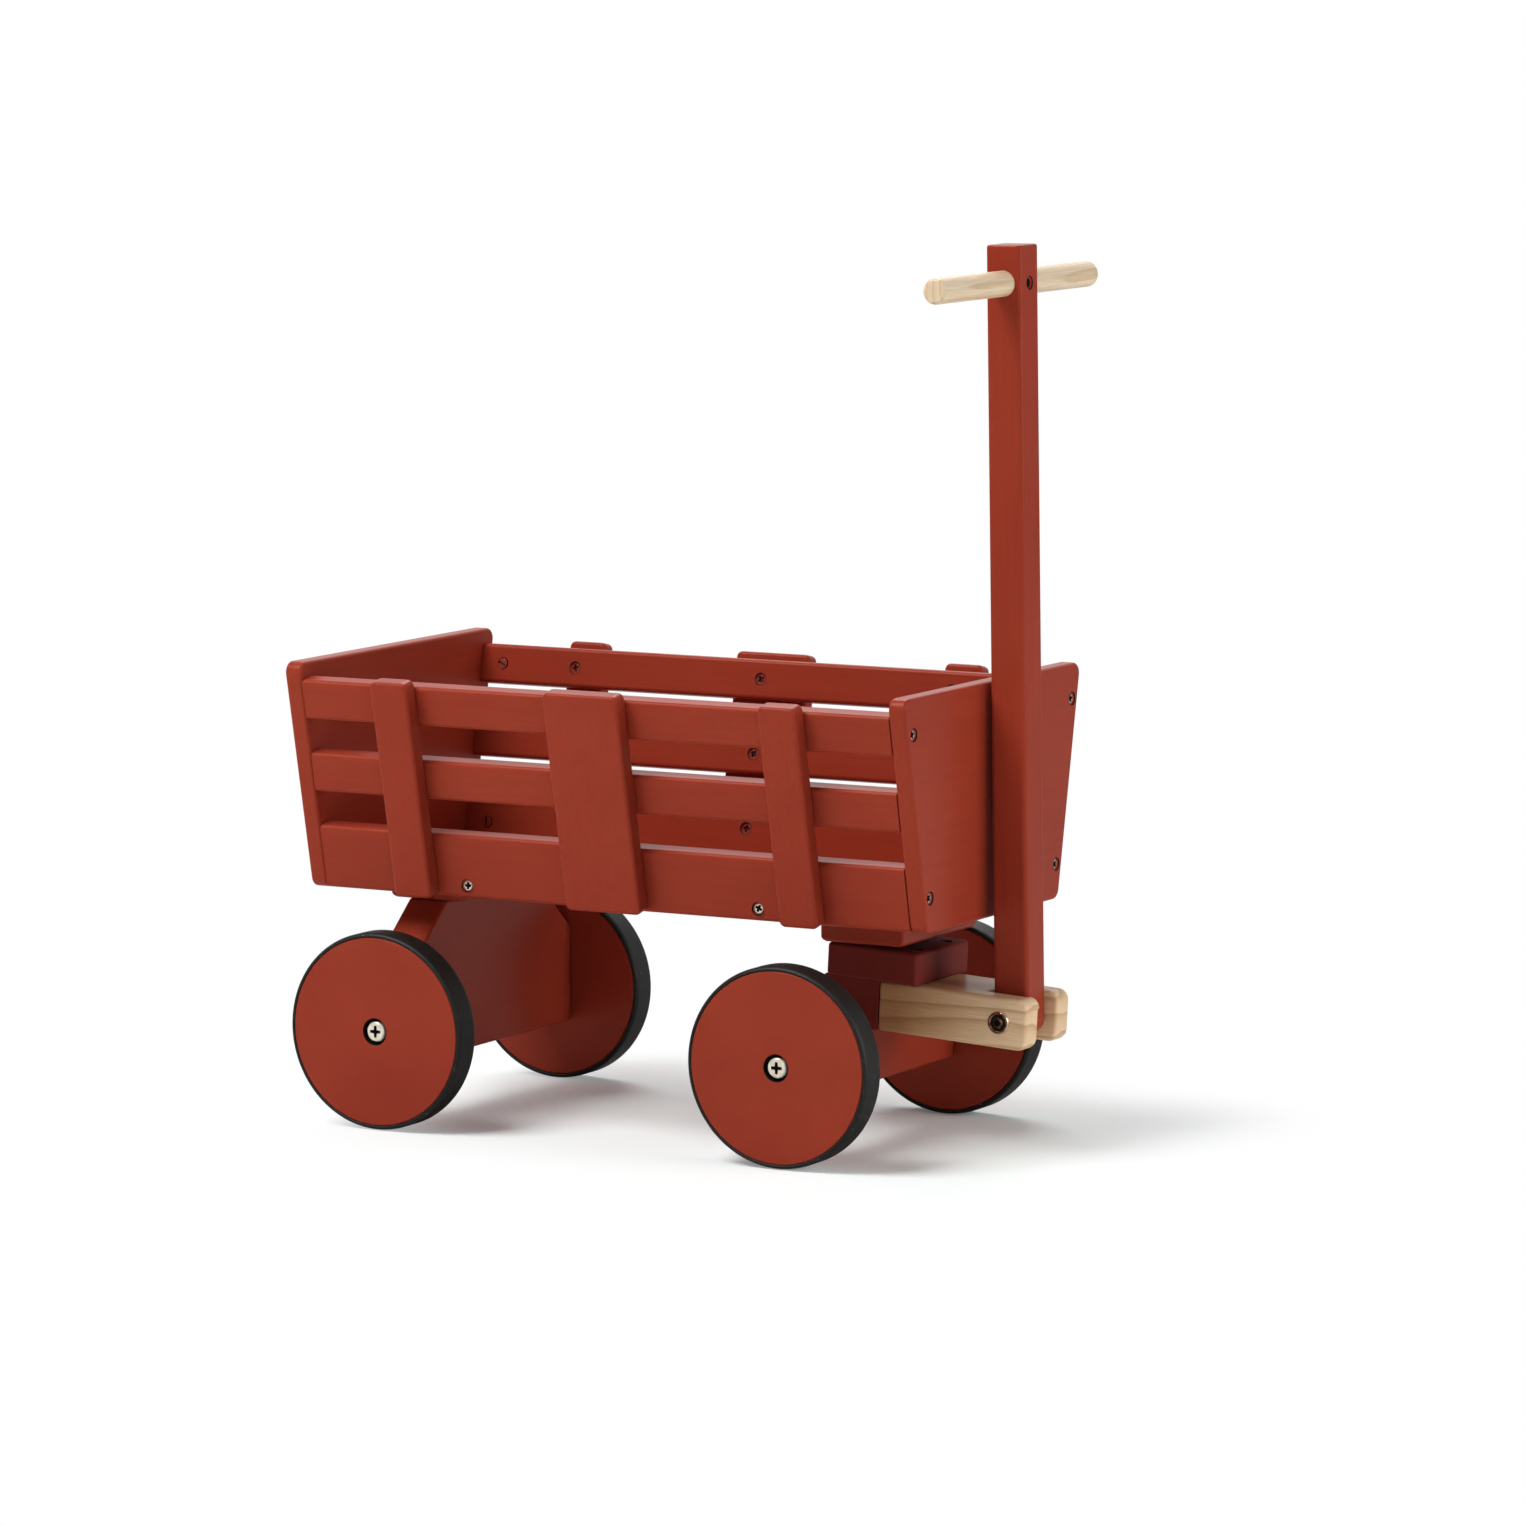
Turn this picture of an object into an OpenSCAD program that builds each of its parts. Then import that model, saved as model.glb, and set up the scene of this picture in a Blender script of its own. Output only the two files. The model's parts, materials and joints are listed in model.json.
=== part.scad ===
// Wooden pull wagon: slatted box on two axles, steered front truck, hinged pull handle.
// Millimetres, +X is the way it is pulled, +Z is up, the wheels stand on z = 0.

/* [Wheels] */
// Diameter over the rubber tyre
tyre_d = 126; // [110:1:140]
// Thickness of the rubber between the wooden disc and the tread
tyre_t = 3; // [2:0.5:6]
// Width of a wheel, face to face
wheel_w = 20; // [16:1:24]
// Distance between the outer faces of two wheels on one axle
track_w = 243; // [220:1:260]
// Corner radius of the tyre tread
tread_r = 2.4; // [1:0.2:2.8]
// Distance of the rear axle from the box's rear face
rear_axle_inset = 67; // [60:0.5:80]
// Diameter of the plain shank that a wheel turns on
wheel_pin_d = 6; // [5:0.5:8]
// Diameter of a wheel screw's head
wheel_head_d = 13; // [11:0.5:15]
// Height of a wheel screw's head
wheel_head_h = 3.2; // [2.5:0.1:4]
// Depth of a wheel screw's head below the wheel's face
head_sink = 1.4; // [0.5:0.1:2.5]

/* [Box] */
// Length of the box over its end boards
box_l = 445; // [400:1:520]
// Height of the box's lower edge above the axles
box_rise = 84.5; // [82:0.5:100]
// Height of the end boards
end_h = 147.5; // [142:0.5:190]
// Width of an end board at its lower edge
end_bottom_w = 178; // [168:1:190]
// Outward lean of the side walls, in degrees
wall_lean = 11.86; // [6:0.1:14]
// Thickness of the end boards
end_t = 12; // [9:0.5:18]
// Corner radius of the end boards
end_r = 7; // [3:0.5:12]
// Thickness of the floor panel
floor_t = 12; // [9:0.5:16]
// Height of the floor's underside above the box's lower edge
floor_rise = 2.5; // [1:0.5:6]

/* [Side walls] */
// Thickness of the slats
slat_t = 13; // [11:0.5:18]
// Height of the bottom slat
low_slat_h = 42; // [34:1:44]
// Height of the middle and the top slat
slat_h = 26; // [20:1:28]
// Open gap between two slats
slat_gap = 22.5; // [14:0.5:24]
// Radius on the long edges of the slats
slat_r = 3; // [1:0.5:4]
// Thickness of the upright stakes
stake_t = 12; // [9:0.5:15]
// Width of the outer stakes
stake_w = 27; // [20:1:40]
// Width of the middle stake
wide_stake_w = 54; // [40:1:80]
// Distance of an outer stake's middle from the box's end face
stake_inset = 83.5; // [60:0.5:110]
// Height of the stakes above the top slat
stake_rise = 5.7; // [2:0.1:10]
// Start of a stake above the lower edge of the bottom slat
stake_foot = 2; // [0:0.5:4]
// Corner radius of a stake's ends
stake_r = 4; // [2:0.5:8]

/* [Undercarriage] */
// Distance of a bolster's middle from the box's end face
bolster_inset = 67; // [62:0.5:80]
// Length of the rear bolster along the wagon
rear_bolster_l = 52; // [40:1:60]
// Length of the rear bolster across the wagon
rear_bolster_w = 118; // [100:1:130]
// Thickness of the rear bolster
rear_bolster_t = 10.5; // [8:0.5:14]
// Length of the front bolster along the wagon
front_bolster_l = 58; // [50:1:66]
// Length of the front bolster across the wagon
front_bolster_w = 99; // [80:1:120]
// Height of the gap between the front bolster and the turntable block, at the king bolt
turntable_play = 4.1; // [3:0.1:6]
// Radius on the bolsters' edges
bolster_r = 3.5; // [1:0.5:5]
// Thickness of the rear axle block
axle_block_t = 28; // [22:1:34]
// Distance from the rear axle down to its block's lower edge
axle_block_drop = 23; // [16:1:28]
// Height of the chamfers on the rear axle block's upper corners
axle_chamfer_h = 36.5; // [20:0.5:40]

/* [Front truck] */
// Nose-down tilt of the truck about its axle, in degrees
truck_tilt = 3.25; // [0:0.05:3.5]
// Distance of the front axle behind the king bolt
axle_trail = 21; // [15:0.5:28]
// Length of the turntable block along the wagon
turntable_l = 64; // [56:1:70]
// Width of the turntable block
turntable_w = 70; // [60:1:80]
// Thickness of the turntable block
turntable_t = 20.5; // [18:0.5:21]
// Distance from the axle to the underside of the turntable block
turntable_z = 45; // [40:0.5:46]
// Thickness of the front axle beam
beam_t = 18; // [16:1:24]
// Distance from the axle down to the beam's lower edge
beam_drop = 24.5; // [18:0.5:30]
// Distance from the axle up to the beam's upper edge
beam_rise = 13; // [10:0.5:16]
// Width of the drawbar and of the truck block behind it
drawbar_w = 58; // [52:1:64]
// Distance from the axle forward to the drawbar's rear end
drawbar_x = 20; // [16:0.5:24]
// Distance from the axle forward to the drawbar's front end
drawbar_front = 124; // [120:1:140]
// Corner radius of the drawbar's front end
drawbar_r = 7; // [2:0.5:8]
// Length of the truck block behind the axle
block_back = 20; // [14:1:26]
// Radius on the truck block's rear edges
truck_block_r = 4; // [1:0.5:6]
// Diameter of the king bolt
king_d = 8; // [6:0.5:10]

/* [Handle] */
// Distance from the axle forward to the handle's pivot
pivot_x = 104.4; // [100:0.2:106]
// Distance from the axle up to the handle's pivot
pivot_z = 29.2; // [27:0.2:31]
// Backward lean of the parked handle, in degrees
handle_lean = 0.8; // [0:0.1:1]
// Length of the handle bar above its pivot
bar_l = 478.5; // [380:1:560]
// Depth of the handle bar, front to back
bar_d = 24; // [20:0.5:26]
// Width of the handle bar across the wagon
bar_w = 25; // [20:0.5:30]
// Radius on the long edges of the handle bar
bar_r = 3; // [1:0.5:5]
// Distance from the bar's top down to the grip's axis
grip_drop = 23.5; // [16:0.5:40]
// Diameter of the grip dowel
grip_d = 16; // [12:0.5:18]
// Length of the grip dowel
grip_l = 207; // [150:1:260]
// Diameter of the sleeve that the handle turns on
sleeve_d = 9; // [8:0.5:11]
// Diameter of the heads of the handle's pivot bolt
pivot_head_d = 15; // [13:0.5:18]
// Thickness of the heads of the handle's pivot bolt
pivot_head_t = 1.6; // [1:0.1:2.4]

/* [Fits and fasteners] */
// Radial clearance of a shank or a sleeve in the piece that turns on it
running_fit = 0.08; // [0.05:0.01:0.1]
// Radial clearance around fasteners and dowels that stay put
fixed_fit = 0.1; // [0.05:0.01:0.2]
// Gap at each side of the handle bar in the drawbar's slot
slot_gap = 0.4; // [0.3:0.05:0.8]
// Gap between moving faces, such as a wheel and its washer
face_gap = 0.3; // [0.2:0.05:0.5]
// Diameter of the wood screws
screw_d = 4; // [3:0.5:4.5]
// Diameter of the wood screws' countersunk heads
screw_head_d = 8; // [7:0.5:9]
// Distance of the end-board screws from the walls' outer faces
end_screw_inset = 8; // [6.5:0.5:8.5]
// Distance of the floor's edge screws from the box's end faces
floor_screw_inset = 117.5; // [100:0.5:140]

/* [Hidden] */
$fn = 48;

// Paints and materials
paint = "#9c3a2c";
shaded_paint = "#8a3327";
pine = "#cdb28c";
rubber = "#3a3b3a";
nickel = "#c9c4ba";
bronze = "#6a5344";
steel = "#9a9a98";

// Heights
tyre_r = tyre_d / 2;
disc_r = tyre_r - tyre_t;
axle_z = tyre_r;
box_z = axle_z + box_rise;
floor_z = box_z + floor_rise;
floor_top = floor_z + floor_t;

// Lengths
inner_l = box_l - 2 * end_t;
bolster_x = box_l / 2 - bolster_inset;
stake_pitch = box_l / 2 - stake_inset;
floor_screw_x = box_l / 2 - floor_screw_inset;
rear_axle_x = rear_axle_inset - box_l / 2;
front_axle_x = bolster_x - axle_trail;
wheel_out = track_w / 2;
wheel_in = wheel_out - wheel_w;
washer_t = 1.4;
axle_end = wheel_in - washer_t - 2 * face_gap;

// The front end of the tilted drawbar is the part's foremost point
fork_front = front_axle_x + (drawbar_front - drawbar_r) * cos(truck_tilt)
    + (turntable_z - drawbar_r) * sin(truck_tilt) + drawbar_r;
mid_x = (fork_front - box_l / 2) / 2;

// Side walls: heights of the slats along the wall, from the lower edge
mid_slat_z = low_slat_h + slat_gap;
top_slat_z = mid_slat_z + slat_h + slat_gap;
wall_h = top_slat_z + slat_h;
seat_gap = 0.1;

// Screws
screw_r = screw_d / 2;
screw_head_r = screw_head_d / 2;
sink_h = screw_head_r - screw_r;
screw_bite = 22;
stake_screw_l = slat_t + stake_t * 0.6;
end_screw_l = end_t + screw_bite;
dowel_d = 8;
dowel_back = 16.5;
floor_screw_l = slat_t + screw_bite;
pilot_extra = 1;
wheel_screw_grip = 42;
pin_r = wheel_pin_d / 2;
head_room = 1.4;

// Widths of the box inside its walls
function wall_y(z) = end_bottom_w / 2 + (z - box_z) * tan(wall_lean);
function wall_inner_y(z) = wall_y(z) - slat_t / cos(wall_lean);

function unit(v) = v / norm(v);
function corner_angle(a, b, c) = acos(unit(a - b) * unit(c - b));

// A convex outline whose corners are all rounded by r, as lines and true arcs
module rounded_outline(pts, r) {
    n = len(pts);
    polygon([for (i = [0:n - 1])
        let (a = pts[(i + n - 1) % n], b = pts[i], c = pts[(i + 1) % n])
        let (t = r / tan(corner_angle(a, b, c) / 2))
        each [b + unit(a - b) * t, b + unit(c - b) * t]]);
    for (i = [0:n - 1])
        let (a = pts[(i + n - 1) % n], b = pts[i], c = pts[(i + 1) % n])
            translate(b + unit(unit(a - b) + unit(c - b)) * r / sin(corner_angle(a, b, c) / 2))
                circle(r);
}

module rounded_rect(w, h, r) {
    rounded_outline([[0, 0], [w, 0], [w, h], [0, h]], r);
}

// Everything is drawn about the middle of the box and moved so that the part is centred
module placed() {
    translate([-mid_x, 0, 0]) children();
}

// side -1 is the wagon's right, +1 its left; drawn for the right side
module on_side(side) {
    mirror([0, side > 0 ? 1 : 0, 0]) children();
}

// Wall frame: z runs up the wall, y = 0 is the slats' outer face, +y points inwards
module wall_frame(side) {
    on_side(side) translate([0, -end_bottom_w / 2, box_z]) rotate([wall_lean, 0, 0]) children();
}

// Truck frame: origin in the middle of the front axle, tilted nose down
module truck_frame() {
    translate([front_axle_x, 0, axle_z]) rotate([0, truck_tilt, 0]) children();
}

// Handle frame: origin on the pivot, z runs up the bar
module handle_frame() {
    truck_frame() translate([pivot_x, 0, pivot_z]) rotate([0, -truck_tilt - handle_lean, 0])
        children();
}

// A board outline in X and Y laid in the Y-Z plane and given a thickness along X
module along_x(l) {
    rotate([90, 0, 90]) linear_extrude(l) children();
}

// ---- Fasteners ----

// Countersunk wood screw: head flush at z = 0, shank down to z = -l
module wood_screw(l) {
    difference() {
        rotate_extrude()
            polygon([[0, -l], [screw_r, -l], [screw_r, -sink_h], [screw_head_r, 0], [0, 0]]);
        cross_recess(span = screw_head_d * 0.55, w = 0.9, depth = 1.2);
    }
}

// The hole that a countersunk wood screw sits in
module screw_hole(l) {
    shank = screw_r + fixed_fit;
    head = screw_head_r + fixed_fit;
    rotate_extrude() polygon([[0, -l - pilot_extra], [shank, -l - pilot_extra],
        [shank, -sink_h - fixed_fit], [head, -fixed_fit], [head, 1], [0, 1]]);
}

module cross_recess(span, w, depth) {
    for (a = [0, 90])
        rotate(a) translate([-span / 2, -w / 2, -depth]) cube([span, w, depth + 1]);
}

// The bottom slat's stake screws sit above its middle, clear of the floor's screws
low_screw_lift = 8;

// Places children at the three slat heights of one stake, on the slats' inner faces
module at_stake_screws(x) {
    for (z = [low_slat_h / 2 + low_screw_lift, mid_slat_z + slat_h / 2, top_slat_z + slat_h / 2])
        translate([x, slat_t, z]) rotate([-90, 0, 0]) children();
}

// Places children at the two screws that join an end board to one wall
module at_end_screws(end) {
    for (z = [low_slat_h / 2, top_slat_z + slat_h / 2])
        translate([end * box_l / 2, end_screw_inset, z]) rotate([0, end * 90, 0]) children();
}

// Places children at the cross dowels that take the end-board screws
module at_cross_dowels(end) {
    for (z = [low_slat_h / 2, top_slat_z + slat_h / 2])
        translate([end * (inner_l / 2 - dowel_back), slat_t, z]) rotate([-90, 0, 0]) children();
}

// Places children at the screws through the bottom slat into the floor's edge
module at_floor_screws(side) {
    for (x = [-floor_screw_x, floor_screw_x])
        translate([x, side * wall_y(floor_z + floor_t / 2), floor_z + floor_t / 2])
            rotate([-side * 90, 0, 0]) children();
}

// ---- Box ----

module end_board(end) {
    top = box_z + end_h;
    outline = [[-wall_y(box_z), box_z], [wall_y(box_z), box_z], [wall_y(top), top], [-wall_y(top), top]];
    color(paint) placed() difference() {
        translate([end > 0 ? inner_l / 2 : -box_l / 2, 0, 0])
            along_x(end_t) rounded_outline(outline, end_r);
        for (side = [-1, 1])
            wall_frame(side) at_end_screws(end) screw_hole(end_screw_l);
    }
}

module slat(side, z, h) {
    color(paint) placed() difference() {
        wall_frame(side) translate([-inner_l / 2, 0, z]) along_x(inner_l) rounded_rect(slat_t, h, slat_r);
        wall_frame(side) for (x = [-stake_pitch, 0, stake_pitch])
            at_stake_screws(x) screw_hole(stake_screw_l);
        for (end = [-1, 1]) wall_frame(side) {
            at_end_screws(end) screw_hole(end_screw_l);
            at_cross_dowels(end) translate([0, 0, -dowel_len() - fixed_fit])
                cylinder(h = dowel_len() + 2, r = dowel_d / 2 + fixed_fit);
        }
        at_floor_screws(side) screw_hole(floor_screw_l);
    }
}

function dowel_len() = slat_t - 2;

module stake(side, x, w) {
    color(paint) placed() difference() {
        wall_frame(side) translate([x - w / 2, 0, stake_foot]) rotate([90, 0, 0])
            linear_extrude(stake_t) rounded_rect(w, wall_h + stake_rise - stake_foot, stake_r);
        wall_frame(side) at_stake_screws(x) screw_hole(stake_screw_l);
        at_floor_screws(side) screw_hole(floor_screw_l);
    }
}

module floor_panel() {
    low_y = wall_inner_y(floor_z) - seat_gap;
    high_y = wall_inner_y(floor_top) - seat_gap;
    color(paint) placed() difference() {
        translate([-inner_l / 2 + seat_gap, 0, 0]) along_x(inner_l - 2 * seat_gap)
            polygon([[-low_y, floor_z], [low_y, floor_z], [high_y, floor_top], [-high_y, floor_top]]);
        for (side = [-1, 1]) at_floor_screws(side) screw_hole(floor_screw_l);
        at_bolster_screws() screw_hole(bolster_screw_l);
        at_axle_block_screws() screw_hole(axle_screw_l);
        king_bore(king_d / 2 + fixed_fit);
        translate([bolster_x, 0, floor_top - king_head_h - head_room])
            cylinder(h = king_head_h + head_room + 1, r = king_head_r + 1);
    }
}

module front_end_board() { end_board(1); }
module rear_end_board() { end_board(-1); }
module low_slat(side) { slat(side, 0, low_slat_h); }
module mid_slat(side) { slat(side, mid_slat_z, slat_h); }
module top_slat(side) { slat(side, top_slat_z, slat_h); }
module outer_stake(side, end) { stake(side, end * stake_pitch, stake_w); }
module wide_stake(side) { stake(side, 0, wide_stake_w); }

// ---- Bolsters and rear axle ----

short_bite = 8;
long_bite = 30;
bolster_screw_l = floor_t + short_bite;
axle_screw_l = floor_t + rear_bolster_t + long_bite;
axle_screw_y = 30;
king_head_r = 8;
king_head_h = 4;
// Height of the turntable block's tilted top on the king bolt's axis
turntable_top = axle_z + (turntable_z + turntable_t - axle_trail * sin(truck_tilt)) / cos(truck_tilt);
front_bolster_z = turntable_top + turntable_play;
front_bolster_t = floor_z - front_bolster_z;
rear_bolster_z = floor_z - rear_bolster_t;
bolster_screw_inset = 9;

module at_bolster_screws() {
    for (y = [-1, 1], x = [-1, 1]) {
        translate([bolster_x + x * (front_bolster_l / 2 - bolster_screw_inset),
            y * (front_bolster_w / 2 - bolster_screw_inset), floor_top]) children();
        translate([-bolster_x + x * (rear_bolster_l / 2 - bolster_screw_inset),
            y * (rear_bolster_w / 2 - bolster_screw_inset), floor_top]) children();
    }
}

module at_axle_block_screws() {
    for (y = [-axle_screw_y, axle_screw_y]) translate([rear_axle_x, y, floor_top]) children();
}

// Upright bore for the king bolt, from above the floor to below the truck
module king_bore(r) {
    translate([bolster_x, 0, axle_z]) cylinder(h = floor_top - axle_z + 1, r = r);
}

// A bolster's edges are rounded along the wagon and across it
module bolster(x, l, w, t) {
    translate([x - l / 2, 0, floor_z - t]) intersection() {
        rotate([90, 0, 90]) linear_extrude(l) translate([-w / 2, 0]) rounded_rect(w, t, bolster_r);
        translate([0, w / 2, 0]) rotate([90, 0, 0]) linear_extrude(w) rounded_rect(l, t, bolster_r);
    }
}

module rear_bolster() {
    color(paint) placed() difference() {
        bolster(-bolster_x, rear_bolster_l, rear_bolster_w, rear_bolster_t);
        at_bolster_screws() screw_hole(bolster_screw_l);
        at_axle_block_screws() screw_hole(axle_screw_l);
    }
}

module front_bolster() {
    color(paint) placed() difference() {
        bolster(bolster_x, front_bolster_l, front_bolster_w, front_bolster_t);
        at_bolster_screws() screw_hole(bolster_screw_l);
        king_bore(king_d / 2 + fixed_fit);
    }
}

// Bores in the ends of an axle for the two wheel screws, about the origin
module wheel_screw_bores() {
    for (side = [-1, 1]) rotate([side * 90, 0, 0])
        translate([0, 0, axle_end - wheel_screw_grip - pilot_extra])
            cylinder(h = wheel_screw_grip + pilot_extra + 5, r = pin_r + fixed_fit);
}

// How far the block's narrow top stands back from the bolster's sides
block_shoulder = 3;

module rear_axle_block() {
    top = rear_bolster_z;
    top_y = rear_bolster_w / 2 - block_shoulder;
    low = axle_z - axle_block_drop;
    outline = [[-axle_end, low], [axle_end, low], [axle_end, top - axle_chamfer_h],
        [top_y, top], [-top_y, top], [-axle_end, top - axle_chamfer_h]];
    color(paint) placed() difference() {
        translate([rear_axle_x - axle_block_t / 2, 0, 0]) along_x(axle_block_t) polygon(outline);
        translate([rear_axle_x, 0, axle_z]) wheel_screw_bores();
        at_axle_block_screws() screw_hole(axle_screw_l);
    }
}

// ---- Wheels, drawn about their own centre with the outer face towards -Y ----

tongue_w = 6;
tongue_h = 2.5;
tyre_fit = 0.3;
counterbore = wheel_head_h + head_sink + face_gap;
// A pan head keeps its full width over this share of its height, and narrows by the rim
pan_flat = 0.62;
pan_rim = 2;

// Half section of a wheel part in r and y, turned about the axle
module turned() {
    rotate([90, 0, 0]) rotate_extrude($fn = 96) children();
}

module disc_shape() {
    difference() {
        turned() difference() {
            translate([0, -wheel_w / 2]) square([disc_r, wheel_w]);
            translate([disc_r - tongue_h, -tongue_w / 2]) square([tongue_h + 1, tongue_w]);
        }
        rotate([90, 0, 0]) translate([0, 0, -wheel_w]) cylinder(h = 2 * wheel_w, r = pin_r + running_fit);
        rotate([90, 0, 0]) translate([0, 0, wheel_w / 2 - counterbore])
            cylinder(h = counterbore + 1, r = wheel_head_d / 2 + head_room);
    }
}

module tyre_shape() {
    r0 = disc_r + tyre_fit;
    turned() {
        difference() {
            translate([disc_r / 2, -wheel_w / 2]) rounded_rect(tyre_r - disc_r / 2, wheel_w, tread_r);
            translate([0, -wheel_w]) square([r0, 2 * wheel_w]);
        }
        translate([r0 - tongue_h, -tongue_w / 2 + tyre_fit]) square([tongue_h + 0.5, tongue_w - 2 * tyre_fit]);
    }
}

module at_wheel(side) {
    mirror([0, side > 0 ? 1 : 0, 0]) translate([0, -wheel_out + wheel_w / 2, 0]) children();
}

module rear_wheel_place(side) {
    placed() translate([rear_axle_x, 0, axle_z]) at_wheel(side) children();
}

module front_wheel_place(side) {
    placed() truck_frame() at_wheel(side) children();
}

// Pan-head screw that a wheel turns on, with its washers beside it
module wheel_screw() {
    seat = wheel_w / 2 - counterbore + face_gap;
    tip = -wheel_w / 2 - wheel_screw_grip;
    top = seat + wheel_head_h;
    edge = seat + wheel_head_h * pan_flat;
    rotate([90, 0, 0]) difference() {
        rotate_extrude() polygon([[0, tip], [pin_r, tip], [pin_r, seat], [wheel_head_d / 2, seat],
            [wheel_head_d / 2, edge], [wheel_head_d / 2 - pan_rim, top], [0, top]]);
        translate([0, 0, top]) cross_recess(span = wheel_head_d * 0.5, w = 1.3, depth = 2);
    }
}

module axle_washer() {
    rotate([90, 0, 0]) translate([0, 0, -wheel_w / 2 - face_gap - washer_t]) difference() {
        cylinder(h = washer_t, r = wheel_head_d / 2 + 2);
        translate([0, 0, -1]) cylinder(h = washer_t + 2, r = pin_r + fixed_fit);
    }
}

module rear_wheel_screws() {
    color(nickel) for (side = [-1, 1]) rear_wheel_place(side) wheel_screw();
}

module front_wheel_screws() {
    color(nickel) for (side = [-1, 1]) front_wheel_place(side) wheel_screw();
}

module rear_axle_washers() {
    color(steel) for (side = [-1, 1]) rear_wheel_place(side) axle_washer();
}

module front_axle_washers() {
    color(steel) for (side = [-1, 1]) front_wheel_place(side) axle_washer();
}

module rear_disc(side) { color(paint) rear_wheel_place(side) disc_shape(); }
module rear_tyre(side) { color(rubber) rear_wheel_place(side) tyre_shape(); }
module front_disc(side) { color(paint) front_wheel_place(side) disc_shape(); }
module front_tyre(side) { color(rubber) front_wheel_place(side) tyre_shape(); }

// ---- Front truck ----

block_w = drawbar_w;
turntable_x = axle_trail - turntable_l / 2 - (turntable_z + turntable_t) * sin(truck_tilt);
turntable_r = 3;
turntable_hole_inset = 9;
turntable_bite = 18;
turntable_screw_l = turntable_t + turntable_bite;
beam_screw_y = 18;
beam_bite = 14;
beam_screw_l = beam_drop + beam_rise + beam_bite;
slot_w = bar_w + 2 * slot_gap;
slot_back = 5;
slot_x = pivot_x - bar_d / 2 - slot_back;
king_nut_r = 7.5;
king_nut_h = 6.5;
nut_pocket_r = 11;
nut_washer_t = 1.5;
nut_pocket_h = king_nut_h + nut_washer_t + 3.2;
// Height of the turntable block's tilted underside on the king bolt's axis
turntable_under = axle_z + (turntable_z - axle_trail * sin(truck_tilt)) / cos(truck_tilt);
pocket_top = turntable_under + nut_pocket_h;
bolt_end = turntable_under + 1;

module at_turntable_screws() {
    for (x = [turntable_x + turntable_hole_inset, turntable_x + turntable_l - turntable_hole_inset],
        y = [-1, 1])
        translate([x, y * (drawbar_w / 2 - turntable_hole_inset), turntable_z + turntable_t]) children();
}

// Screws from below, through the axle beam into the truck block
module at_beam_screws() {
    for (y = [-beam_screw_y, beam_screw_y])
        translate([0, y, -beam_drop]) rotate([180, 0, 0]) children();
}

module turntable_block() {
    color(shaded_paint) placed() difference() {
        truck_frame() translate([turntable_x, -turntable_w / 2, turntable_z])
            linear_extrude(turntable_t) rounded_rect(turntable_l, turntable_w, turntable_r);
        king_bore(king_d / 2 + running_fit);
        translate([bolster_x, 0, turntable_under - 5]) cylinder(h = nut_pocket_h + 5, r = nut_pocket_r);
        truck_frame() at_turntable_screws() screw_hole(turntable_screw_l);
    }
}

// Outline of the truck block seen from its side: rounded at the rear, square in front
module truck_block_outline() {
    h = turntable_z - beam_rise;
    intersection() {
        rounded_rect(block_back + drawbar_x + 2 * truck_block_r, h, truck_block_r);
        square([block_back + drawbar_x, h]);
    }
}

module truck_block() {
    color(shaded_paint) placed() truck_frame() difference() {
        translate([-block_back, block_w / 2, beam_rise]) rotate([90, 0, 0])
            linear_extrude(block_w) truck_block_outline();
        at_turntable_screws() screw_hole(turntable_screw_l);
        at_beam_screws() screw_hole(beam_screw_l);
    }
}

module front_axle_beam() {
    color(paint) placed() truck_frame() difference() {
        translate([-beam_t / 2, -axle_end, -beam_drop]) cube([beam_t, 2 * axle_end, beam_drop + beam_rise]);
        wheel_screw_bores();
        at_beam_screws() screw_hole(beam_screw_l);
    }
}

// Outline of the drawbar seen from its side: square at the rear, rounded in front
module drawbar_outline() {
    h = turntable_z - beam_rise;
    l = drawbar_front - drawbar_x;
    square([l - drawbar_r, h]);
    translate([l - drawbar_r, drawbar_r]) square([drawbar_r, h - 2 * drawbar_r]);
    for (z = [drawbar_r, h - drawbar_r]) translate([l - drawbar_r, z]) circle(drawbar_r);
}

module drawbar_fork() {
    color(pine) placed() truck_frame() difference() {
        translate([drawbar_x, drawbar_w / 2, beam_rise]) rotate([90, 0, 0])
            linear_extrude(drawbar_w) drawbar_outline();
        translate([slot_x, -slot_w / 2, beam_rise - 1])
            cube([drawbar_front, slot_w, turntable_z - beam_rise + 2]);
        at_turntable_screws() screw_hole(turntable_screw_l);
        translate([pivot_x, drawbar_w, pivot_z]) rotate([90, 0, 0])
            cylinder(h = 2 * drawbar_w, r = sleeve_d / 2 + fixed_fit);
    }
}

module turntable_screws() {
    color(nickel) placed() truck_frame() at_turntable_screws() wood_screw(turntable_screw_l);
}

module beam_screws() {
    color(nickel) placed() truck_frame() at_beam_screws() wood_screw(beam_screw_l);
}

// King bolt: round head sunk in the floor, plain shank down into the turntable block's pocket
module king_bolt() {
    color(steel) placed() translate([bolster_x, 0, 0]) {
        translate([0, 0, floor_top - king_head_h - head_room])
            cylinder(h = king_head_h, r1 = king_head_r, r2 = king_head_r - 2);
        translate([0, 0, bolt_end]) cylinder(h = floor_top - king_head_h - head_room - bolt_end, r = king_d / 2);
    }
}

module king_nut() {
    color(steel) placed() translate([bolster_x, 0, pocket_top - face_gap - nut_washer_t - king_nut_h])
        difference() {
            cylinder(h = king_nut_h, r = king_nut_r, $fn = 6);
            translate([0, 0, -1]) cylinder(h = king_nut_h + 2, r = king_d / 2 + fixed_fit);
        }
}

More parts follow.
